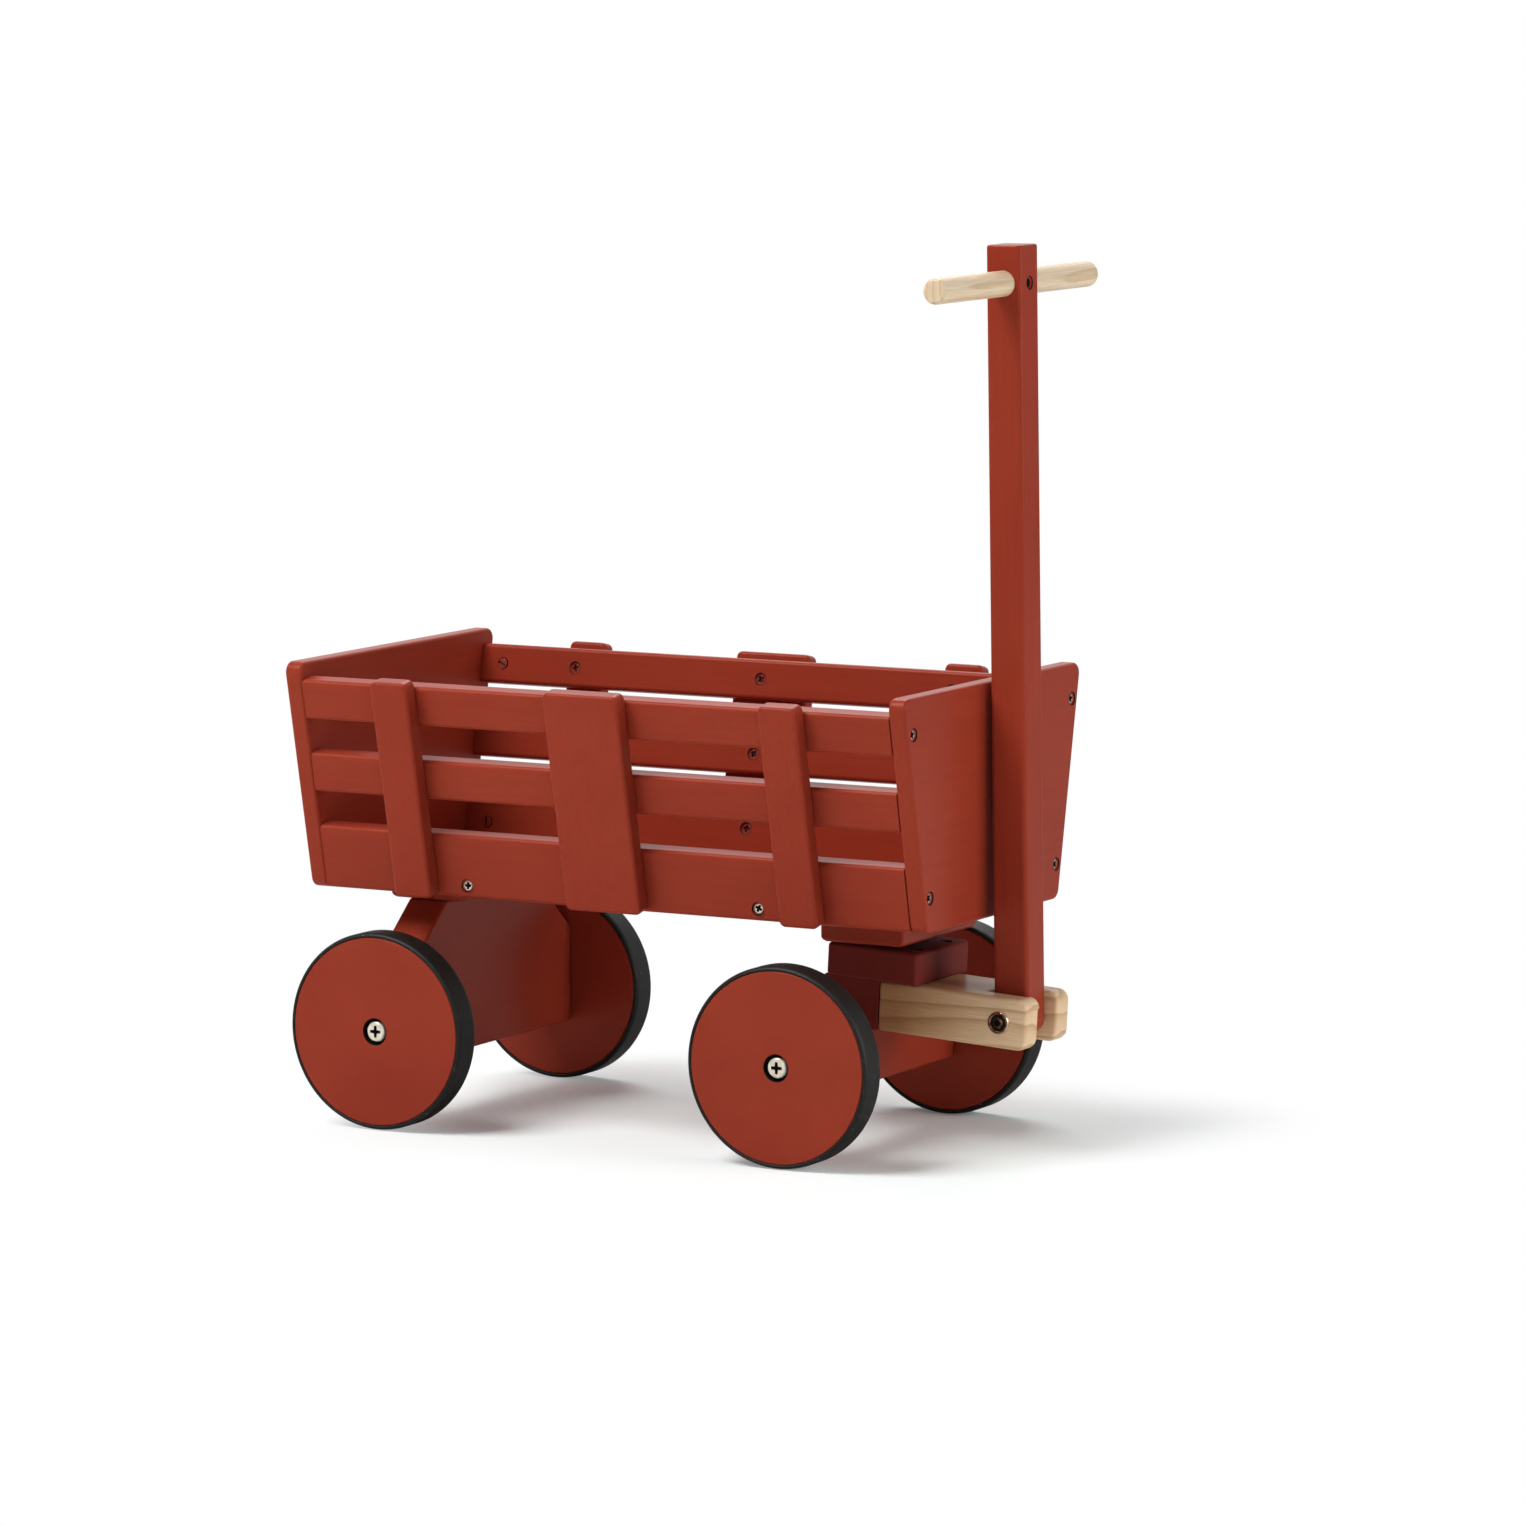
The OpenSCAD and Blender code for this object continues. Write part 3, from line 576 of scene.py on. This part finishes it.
def turned(node, profile, finish, direction, steps=144, bore=0.0):
    """A lathe-turned piece about the middle of its CAD node's box. Depth 0 is that middle.

    Faces within the bore's radius in millimetres get black painted shade."""
    low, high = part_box(node)
    solid = bmesh.new()
    lathe(solid, profile, steps)
    for face in solid.faces:
        if face.calc_center_median().xy.length < bore * MM:
            face.material_index = SHADE_MARK
    mesh = mesh_of(solid, node + "_turned")
    mesh.transform(axis_to((low + high) / 2, direction))
    finish_piece(mesh, finish, node)


# ---- Fasteners ----


def prism(solid, outline, top, bottom, taper):
    """Adds a closed prism over an outline in millimetres that shrinks by taper at its bottom."""
    high = [solid.verts.new((x * MM, y * MM, top * MM)) for x, y in outline]
    low = [solid.verts.new((x * taper * MM, y * taper * MM, bottom * MM)) for x, y in outline]
    solid.faces.new(high)
    solid.faces.new(low[::-1])
    for i in range(len(outline)):
        j = (i + 1) % len(outline)
        solid.faces.new((high[i], low[i], low[j], high[j]))
    bmesh.ops.recalc_face_normals(solid, faces=solid.faces)


def cross_outline(span, width):
    """Outline of a cross recess: four arms that widen towards the middle."""
    tip, root = width / 2, width * 0.62
    arm = [(span / 2, -tip), (span / 2, tip), (root, root)]
    points = []
    for quarter in range(4):
        c, s = math.cos(quarter * math.pi / 2), math.sin(quarter * math.pi / 2)
        points += [(x * c - y * s, x * s + y * c) for x, y in arm]
    return points


def hex_outline(radius):
    """Outline of a hexagon socket, with this radius at its corners."""
    turns = [math.radians(60 * i) for i in range(6)]
    return [(radius * math.cos(t), radius * math.sin(t)) for t in turns]


def cut(solid, tool):
    """The mesh of solid minus tool, both closed."""
    objects = []
    for name, part in (("cut_body", solid), ("cut_tool", tool)):
        objects.append(bpy.data.objects.new(name, mesh_of(part, name)))
        bpy.context.scene.collection.objects.link(objects[-1])
    body, knife = objects
    carve = body.modifiers.new("carve", "BOOLEAN")
    carve.object = knife
    carve.operation = "DIFFERENCE"
    carve.solver = "EXACT"
    carved = body.evaluated_get(bpy.context.evaluated_depsgraph_get())
    result = bpy.data.meshes.new_from_object(carved)
    for o in objects:
        bpy.data.objects.remove(o)
    return result


def with_recess(profile, outline, top, bottom, taper, steps=48):
    """A lathe-turned head with a socket cut into it, whose walls and floor get painted shade.

    The socket's walls look towards the axis, and its floor looks up."""
    inward, up, floor_depth = -1e-6, 0.9, (bottom + 0.1) * MM
    body, knife = bmesh.new(), bmesh.new()
    lathe(body, profile, steps)
    prism(knife, outline, top, bottom, taper)
    mesh = cut(body, knife)
    reach = max(math.hypot(x, y) for x, y in outline) * MM
    for face in mesh.polygons:
        out = Vector(face.center.xy)
        wall = face.normal.xy.dot(out) < inward
        floor = face.normal.z > up and face.center.z < floor_depth
        if out.length < reach and (wall or floor):
            face.material_index = SHADE_MARK
    return mesh


WOOD_SCREW_SINK = 0.12  # Z = 0 of a wood screw lies this far under the wood's face


def wood_screw_mesh(length):
    """Countersunk screw: a soft-rimmed head with a cross recess, well below the wood's face.

    The countersink's wall and a thin lip round its mouth get painted shade, dark as the gap round
    the head. The lip stands just proud of the wood."""
    mouth, shade_lip = 4.0, 0.4  # the countersink's radius at the wood's face, and the lip's width
    head, sunk, rim = 3.1, 1.15, 0.1  # the head's radius, how deep it lies and its rounded rim
    wall = (head + 0.03, -sunk - 0.06)  # where the countersink's wall meets the rim
    lip, lip_edge, lip_foot = 0.02, 0.025, -0.02  # heights over the wood's face
    seat, shank, point = -0.3, 2.0, 2.5  # where the cone starts, and the shank's radius and tip
    profile = [(0, -sunk)] + arc((head - rim, -sunk - rim), (rim, rim), 90, 0, 3)
    profile += [
        wall,
        (mouth, WOOD_SCREW_SINK + lip),
        (mouth + shade_lip, WOOD_SCREW_SINK + lip_edge),
        (mouth + shade_lip, WOOD_SCREW_SINK + lip_foot),
        (mouth, seat),
        (shank, seat - mouth + shank),
        (shank, point - length),
        (0, -length),
    ]
    mesh = with_recess(profile, cross_outline(8.2, 2.7), top=1, bottom=-2.6, taper=0.3)
    # Upward faces beyond the head, the countersink's wall and the lip, get painted shade
    facing_out = 0.05
    for face in mesh.polygons:
        if face.normal.z > facing_out and face.center.xy.length > (head + 0.02) * MM:
            face.material_index = SHADE_MARK
    return mesh


def pan_screw_mesh(length):
    """Pan-head screw that a wheel turns on. Z = 0 is the head's underside."""
    radius, height, chamfer = 6.5, 3.2, 0.15
    crown = (radius * 0.55, height - 0.08)  # the slightly domed top ends here
    shoulder, brim = (1.4, 1.35), height - 1.5  # and rounds down to the head's side here
    shank, point, reach = 3.0, 3, length - height
    profile = [(0, height), crown]
    profile += arc((radius - shoulder[0], brim), shoulder, 90, 0, 6)
    profile += [(radius, chamfer), (radius - chamfer, 0), (shank, 0)]
    profile += [(shank, point - reach), (0, -reach)]
    return with_recess(
        profile, cross_outline(9.6, 2.3), top=height + 1, bottom=height - 2.6, taper=0.3, steps=72
    )


def barrel_mesh(length):
    """Cross dowel: a barrel nut with a rounded rim and a screwdriver slot, thick with paint."""
    radius, rim, slot_long, slot_wide = 3.95, 0.5, 3.4, 0.6
    profile = [(0, 0)] + arc((radius - rim, -rim), (rim, rim), 90, 0, 4)
    profile += [(radius, -length), (0, -length)]
    slot = [
        (-slot_long, -slot_wide),
        (slot_long, -slot_wide),
        (slot_long, slot_wide),
        (-slot_long, slot_wide),
    ]
    return with_recess(profile, slot, top=1, bottom=-1.3, taper=0.9)


PIVOT_CAP = 1.6  # height of the cap on each end of the handle's pivot


def pivot_cap_mesh(length, shank):
    """Head of the handle's pivot: a round rim, a groove and a domed hex socket.

    The rim and the socket's mouth get a pale metal as a painted highlight, and the groove
    black painted shade.
    """
    radius, height, skirt = 7.5, PIVOT_CAP, 0.3
    boss, boss_round = 2.9, (0.5, 0.3)  # the domed middle's flat, and its rounded shoulder
    groove_in, groove_out, groove_floor = 3.6, 4.7, height - 0.9
    rim_round = (1.2, 1.0)
    point, reach = 0.5, length - height
    profile = [(0, height - 0.15), (boss, height - 0.2)]
    profile += arc((groove_in - boss_round[0], height - 0.5), boss_round, 90, 0, 4)
    profile += [(groove_in, groove_floor), (groove_out, groove_floor)]
    profile += arc((groove_out + rim_round[0], height - rim_round[1]), rim_round, 180, 20, 10)
    profile += [(radius - 0.1, skirt), (radius, 0), (shank, 0)]
    profile += [(shank, point - reach), (0, -reach)]
    socket = 2.2
    mesh = with_recess(
        profile, hex_outline(socket), top=height + 1, bottom=-1.4, taper=0.98, steps=72
    )
    steep = 0.55  # a face with the painted highlight looks at least this far aside
    for face in mesh.polygons:
        out, aside = face.center.xy.length / MM, face.normal.xy.length
        in_groove = groove_in - 0.1 < out < groove_out + 0.05
        outer_rim = groove_out + 1.6 < out < radius - 0.05
        socket_edge = out < socket + 0.1 and face.center.z > 0
        if in_groove and face.center.z < (groove_floor + 0.05) * MM:
            face.material_index = SHADE_MARK
        # Steep faces of the outer rim and the socket's mouth get a pale metal, a painted highlight
        elif aside > steep and (outer_rim or socket_edge):
            face.material_index = GLINT_MARK
    return mesh


def loose_solids(node):
    """Corner points of each separate solid in a CAD node."""
    solid = welded(node)
    seen, groups = set(), []
    for first in solid.verts:
        if first in seen:
            continue
        group, todo = [], [first]
        seen.add(first)
        while todo:
            v = todo.pop()
            group.append(tuple(v.co))
            for e in v.link_edges:
                other = e.other_vert(v)
                if other not in seen:
                    seen.add(other)
                    todo.append(other)
        groups.append(np.array(group))
    solid.free()
    return groups


def fastener_place(points):
    """(middle of the head's top, direction out of the head, length) of one fastener's solid.

    The head is the wider end. Where the ends are alike, it is the one that faces the box's
    inside."""
    alike, end_ring = 0.1 * MM, 0.05 * MM  # in spread, and in depth from the tip
    middle = (points.min(0) + points.max(0)) / 2
    _, vectors = np.linalg.eigh(np.cov((points - points.mean(0)).T))
    out = vectors[:, 2]
    along = (points - middle) @ out
    spread = np.linalg.norm(points - middle - np.outer(along, out), axis=1)
    flip = spread[along < 0].max() - spread[along > 0].max()
    if flip > alike or (abs(flip) <= alike and out[1] * middle[1] > 0):
        out, along = -out, -along
    tip, top = along.min(), along.max()
    ring = points[np.abs(along - tip) < end_ring]
    head = (ring.min(0) + ring.max(0)) / 2 + out * (top - tip)
    return Vector(head), Vector(out), (top - tip) / MM


def fasteners(node, mesh_for, finish, sink):
    """One piece with a detailed fastener in place of every solid in a CAD node.

    The mesh's Z = 0 lies sink millimetres under the top of the CAD fastener's head."""
    spin_step = 67  # degrees from one head to the next: each was driven home at its own angle
    whole = bmesh.new()
    shapes = {}
    for i, points in enumerate(loose_solids(node)):
        head, out, length = fastener_place(points)
        key = round(length)
        if key not in shapes:
            shapes[key] = mesh_for(length)
        copy = shapes[key].copy()
        spin = Matrix.Rotation(math.radians(spin_step * i), 4, "Z")
        copy.transform(axis_to(head - out * sink * MM, out) @ spin)
        whole.from_mesh(copy)
        bpy.data.meshes.remove(copy)
    for shape in shapes.values():
        bpy.data.meshes.remove(shape)
    finish_piece(mesh_of(whole, node + "_detailed"), finish, node)


# ---- Pieces ----

# Wheels: profiles in millimetres, with depth from the wheel's inner face to its outer one
HALF_WIDTH = 10
DISC_R = 60
TYRE_R = 63
SHANK_BORE_R = 3.1
HEAD_BORE_R = 8.6
HEAD_BORE_DEPTH = 4.9


def disc_profile():
    """Wooden disc with eased edges and a counterbore for the screw's head."""
    inner, outer, mouth = 1, 0.8, 0.3  # how far each edge is eased
    bore_floor = HALF_WIDTH - HEAD_BORE_DEPTH
    profile = [(SHANK_BORE_R, -HALF_WIDTH), (DISC_R - inner, -HALF_WIDTH)]
    profile += arc((DISC_R - inner, -HALF_WIDTH + inner), (inner, inner), -90, 0, 4)
    profile += arc((DISC_R - outer, HALF_WIDTH - outer), (outer, outer), 0, 90, 4)
    profile += arc((HEAD_BORE_R + mouth, HALF_WIDTH - mouth), (mouth, mouth), 90, 180, 3)
    profile += [(HEAD_BORE_R, HALF_WIDTH - 2 * mouth)]
    return profile + [(HEAD_BORE_R, bore_floor), (SHANK_BORE_R, bore_floor)]


def tyre_profile():
    """Thin tyre with rounded shoulders, seated on the disc's rim."""
    seat, back, shoulder = DISC_R + 0.3, HALF_WIDTH - 0.3, (2.1, 3.2)
    crown, side = TYRE_R - shoulder[0], HALF_WIDTH - shoulder[1]
    profile = [(seat, -back)]
    profile += arc((crown, -side), shoulder, -90, 0, 8)
    profile += arc((crown, side), shoulder, 0, 90, 8)
    return profile + [(seat, back)]


for end in ("rear", "front"):
    for side, out in (("right", -1), ("left", 1)):
        turned(
            f"{end}_{side}_disc", disc_profile(), ENAMEL_DISC, (0, out, 0), bore=HEAD_BORE_R + 0.2
        )
        turned(f"{end}_{side}_tyre", tyre_profile(), RUBBER, (0, out, 0))

# Boards, slats, stakes and blocks: how far each is eased, in millimetres
EASING = [
    ("floor_panel", 0.6, ENAMEL_LONG),
    ("front_end_board", 2.2, ENAMEL_ACROSS),
    ("rear_end_board", 2.2, ENAMEL_ACROSS),
    ("rear_bolster", 1.5, ENAMEL_ACROSS),
    ("front_bolster", 1.5, ENAMEL_ACROSS),
    ("rear_axle_block", 1.8, ENAMEL_ACROSS),
    # the truck's blocks get the darker enamel, a painted shade
    ("turntable_block", 2.2, ENAMEL_PAINTED_SHADE),
    ("truck_block", 0.8, ENAMEL_PAINTED_SHADE),
    ("front_axle_beam", 1.6, ENAMEL_ACROSS),
    ("drawbar_fork", 2.6, DRAWBAR_PINE),
    ("handle_bar", 1.6, ENAMEL_UPRIGHT),
]
for side in ("right", "left"):
    EASING += [(f"{side}_{level}_slat", 0.5, ENAMEL_LONG) for level in ("low", "mid", "top")]
    EASING += [
        (f"{side}_{place}_stake", 2.4, ENAMEL_UPRIGHT) for place in ("rear", "wide", "front")
    ]
for node, radius, finish in EASING:
    eased(node, radius, finish)


def grip_profile():
    """Dowel whose ends are rounded over on the lathe, as long as its CAD node."""
    radius, rounding = 8, 2.2
    low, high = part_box("grip_dowel")
    half_length = (high.y - low.y) / 2 / MM
    side, end, corner = radius - rounding, half_length - rounding, (rounding, rounding)
    profile = [(0, -half_length)] + arc((side, -end), corner, -90, 0, 8)
    return profile + arc((side, end), corner, 0, 90, 8) + [(0, half_length)]


turned("grip_dowel", grip_profile(), DOWEL_PINE, (0, 1, 0), steps=96)

# Fasteners: how far the zero of each mesh lies under the top of the CAD head, in millimetres
STAKE_SCREW_SINK = 0.1
BARREL_SINK = 0.6
PAN_SINK = 2.4
for node, mesh_for, finish, sink in (
    # The end boards' screws get the darker nickel, a painted shade
    ("end_board_screws", wood_screw_mesh, NICKEL_PAINTED_DARKER, WOOD_SCREW_SINK),
    ("floor_edge_screws", wood_screw_mesh, NICKEL, WOOD_SCREW_SINK),
    ("bolster_screws", wood_screw_mesh, NICKEL, WOOD_SCREW_SINK),
    ("axle_block_screws", wood_screw_mesh, NICKEL, WOOD_SCREW_SINK),
    ("turntable_screws", wood_screw_mesh, NICKEL, WOOD_SCREW_SINK),
    ("beam_screws", wood_screw_mesh, NICKEL, WOOD_SCREW_SINK),
    ("grip_screw", wood_screw_mesh, BLUED, WOOD_SCREW_SINK),
    ("stake_screws", wood_screw_mesh, OVERPAINT, STAKE_SCREW_SINK),
    ("cross_dowels", barrel_mesh, OVERPAINT, BARREL_SINK),
    ("rear_wheel_screws", pan_screw_mesh, NICKEL, PAN_SINK),
    ("front_wheel_screws", pan_screw_mesh, NICKEL, PAN_SINK),
    ("pivot_sleeve", lambda length: pivot_cap_mesh(length, shank=4.5), BRONZED, PIVOT_CAP),
    ("pivot_bolt", lambda length: pivot_cap_mesh(length, shank=3), BRONZED, PIVOT_CAP),
):
    fasteners(node, mesh_for, finish, sink)

# Washers, king bolt and nut: their CAD shape is right, so they keep it
for node in (
    "rear_axle_washers",
    "front_axle_washers",
    "king_bolt",
    "king_nut",
    "king_washer",
    "turntable_washer",
):
    NODES[node].data.materials.clear()
    NODES[node].data.materials.append(ZINC)


# ---- Studio, in metres ----


def studio_floor():
    """A seamless sweep of white paper.

    It keeps the shadow under the wagon, and fades to plain white for the camera all round it."""
    half_size, drop = 40, 0.0003
    shade_middle, shade_half, fade_width = (0.05, 0.025, 0), (0.17, 0.095, 0), 0.16
    shadow_lift = 0.08  # light that the camera sees added to the paper, so shadows stay pale
    mesh = bpy.data.meshes.new("paper_floor")
    corners = [(x * half_size, y * half_size, 0) for x, y in ((-1, -1), (1, -1), (1, 1), (-1, 1))]
    mesh.from_pydata(corners, [], [(0, 1, 2, 3)])
    floor = bpy.data.objects.new("paper_floor", mesh)
    floor.location.z = -drop
    bpy.context.scene.collection.objects.link(floor)
    made, tree, paper = material("white_paper")
    seen = add(tree, "ShaderNodeLightPath")
    # In reflections the paper is grey, a painted dimming of how bright the floor looks in the
    # wagon
    tone = add(
        tree,
        "ShaderNodeValToRGB",
        sockets={"Fac": seen.outputs["Is Glossy Ray"]},
        stops=((0.0, "#F7FDFC"), (1.0, "#B4B4B4")),
    )
    plug(
        paper,
        {"Base Color": tone.outputs["Color"], "Roughness": 0.9, "Specular IOR Level": 0.1},
    )
    # Distance from the rectangle that the wagon stands over
    place = add(tree, "ShaderNodeTexCoord").outputs["Object"]
    aside = add(
        tree, "ShaderNodeVectorMath", {"operation": "SUBTRACT"}, {0: place, 1: shade_middle}
    )
    spread = add(
        tree, "ShaderNodeVectorMath", {"operation": "ABSOLUTE"}, {0: aside.outputs["Vector"]}
    )
    outside = add(
        tree,
        "ShaderNodeVectorMath",
        {"operation": "SUBTRACT"},
        {0: spread.outputs["Vector"], 1: shade_half},
    )
    beyond = add(
        tree,
        "ShaderNodeVectorMath",
        {"operation": "MAXIMUM"},
        {0: outside.outputs["Vector"], 1: (0, 0, 0)},
    )
    away = add(
        tree, "ShaderNodeVectorMath", {"operation": "LENGTH"}, {0: beyond.outputs["Vector"]}
    )
    fade = add(
        tree,
        "ShaderNodeMapRange",
        SOFT_STEP,
        {"Value": away.outputs["Value"], "From Min": 0.0, "From Max": fade_width},
    )
    whitened = add(
        tree,
        "ShaderNodeMath",
        {"operation": "MULTIPLY"},
        {0: fade.outputs["Result"], 1: seen.outputs["Is Camera Ray"]},
    )
    lift = add(
        tree,
        "ShaderNodeMath",
        {"operation": "MULTIPLY"},
        {0: seen.outputs["Is Camera Ray"], 1: shadow_lift},
    )
    glow = add(
        tree,
        "ShaderNodeEmission",
        sockets={"Color": WHITE, "Strength": lift.outputs["Value"]},
    )
    plain = add(tree, "ShaderNodeEmission", sockets={"Color": WHITE, "Strength": 1.0})
    lifted = add(
        tree,
        "ShaderNodeAddShader",
        sockets={0: paper.outputs["BSDF"], 1: glow.outputs["Emission"]},
    )
    mixed = add(
        tree,
        "ShaderNodeMixShader",
        sockets={
            0: whitened.outputs["Value"],
            1: lifted.outputs["Shader"],
            2: plain.outputs["Emission"],
        },
    )
    plug(tree.nodes["Material Output"], {"Surface": mixed.outputs["Shader"]})
    mesh.materials.append(made)


def studio_world():
    """A white sweep behind the wagon and a dimmer room in front of it.

    The camera sees plain white."""
    to_sweep = (-0.485, 0.874, 0)
    diffuse_share = 0.55  # of what a reflection sees
    world = bpy.data.worlds.new("studio")
    world.use_nodes = True
    bpy.context.scene.world = world
    tree = world.node_tree
    seen = add(tree, "ShaderNodeLightPath")
    way = add(tree, "ShaderNodeTexCoord").outputs["Generated"]
    facing = add(
        tree, "ShaderNodeVectorMath", {"operation": "DOT_PRODUCT"}, {0: way, 1: to_sweep}
    )
    room = add(
        tree,
        "ShaderNodeMapRange",
        SOFT_STEP,
        {
            "Value": facing.outputs["Value"],
            "From Min": 0.3,
            "From Max": 0.95,
            "To Min": 0.3,
            "To Max": 0.85,
        },
    )
    soft = add(
        tree,
        "ShaderNodeMath",
        {"operation": "MULTIPLY"},
        {0: room.outputs["Result"], 1: diffuse_share},
    )
    light = add(
        tree,
        "ShaderNodeMix",
        MIX_NUMBERS,
        {
            FACTOR: seen.outputs["Is Glossy Ray"],
            NUMBER_A: soft.outputs["Value"],
            NUMBER_B: room.outputs["Result"],
        },
    )
    strength = add(
        tree,
        "ShaderNodeMix",
        MIX_NUMBERS,
        {
            FACTOR: seen.outputs["Is Camera Ray"],
            NUMBER_A: light.outputs[NUMBER_OUT],
            NUMBER_B: 1.0,
        },
    )
    plug(tree.nodes["Background"], {"Color": WHITE, "Strength": strength.outputs[NUMBER_OUT]})


def aimed(name, data, aim, azimuth, elevation, distance, roll=0.0):
    """Links a lamp or camera that looks at aim from an azimuth and elevation, in degrees.

    Azimuth 0 is the wagon's right side, and 90 its front."""
    a, e = math.radians(azimuth), math.radians(elevation)
    back = Vector((math.sin(a) * math.cos(e), -math.cos(a) * math.cos(e), math.sin(e)))
    made = bpy.data.objects.new(name, data)
    made.location = Vector(aim) + back * distance
    made.rotation_mode = "QUATERNION"
    turn = (-back).to_track_quat("-Z", "Y")
    made.rotation_quaternion = turn @ Matrix.Rotation(math.radians(roll), 3, "Z").to_quaternion()
    bpy.context.scene.collection.objects.link(made)
    return made


def softbox(name, azimuth, elevation, distance, size, power):
    """A square softbox that faces the wagon's middle, with its power in watts."""
    lamp = bpy.data.lights.new(name, "AREA")
    lamp.size = size
    lamp.energy = power
    wagon_middle = (0, 0, 0.2)
    box = aimed(name, lamp, wagon_middle, azimuth, elevation, distance)
    box.visible_camera = False


def camera():
    """Long lens from the wagon's front right, a little above it."""
    lens = bpy.data.cameras.new("camera")
    lens.sensor_width = 36
    lens.lens = 169.95
    lens.clip_start, lens.clip_end = 0.1, 100
    bpy.context.scene.camera = aimed(
        "camera",
        lens,
        aim=(0.03954, 0, 0.23376),
        azimuth=29.036,
        elevation=7.221,
        distance=4.5401,
        roll=-0.116,
    )


studio_floor()
softbox("key_left", azimuth=-33, elevation=54, distance=3.4, size=1.7, power=105)
softbox("front", azimuth=22, elevation=8, distance=2.6, size=1.4, power=4)
softbox("side_right", azimuth=98, elevation=14, distance=2.8, size=1.4, power=32)
softbox("back", azimuth=205, elevation=52, distance=2.6, size=1.4, power=28)
studio_world()
camera()
bpy.context.scene.view_settings.view_transform = "Standard"
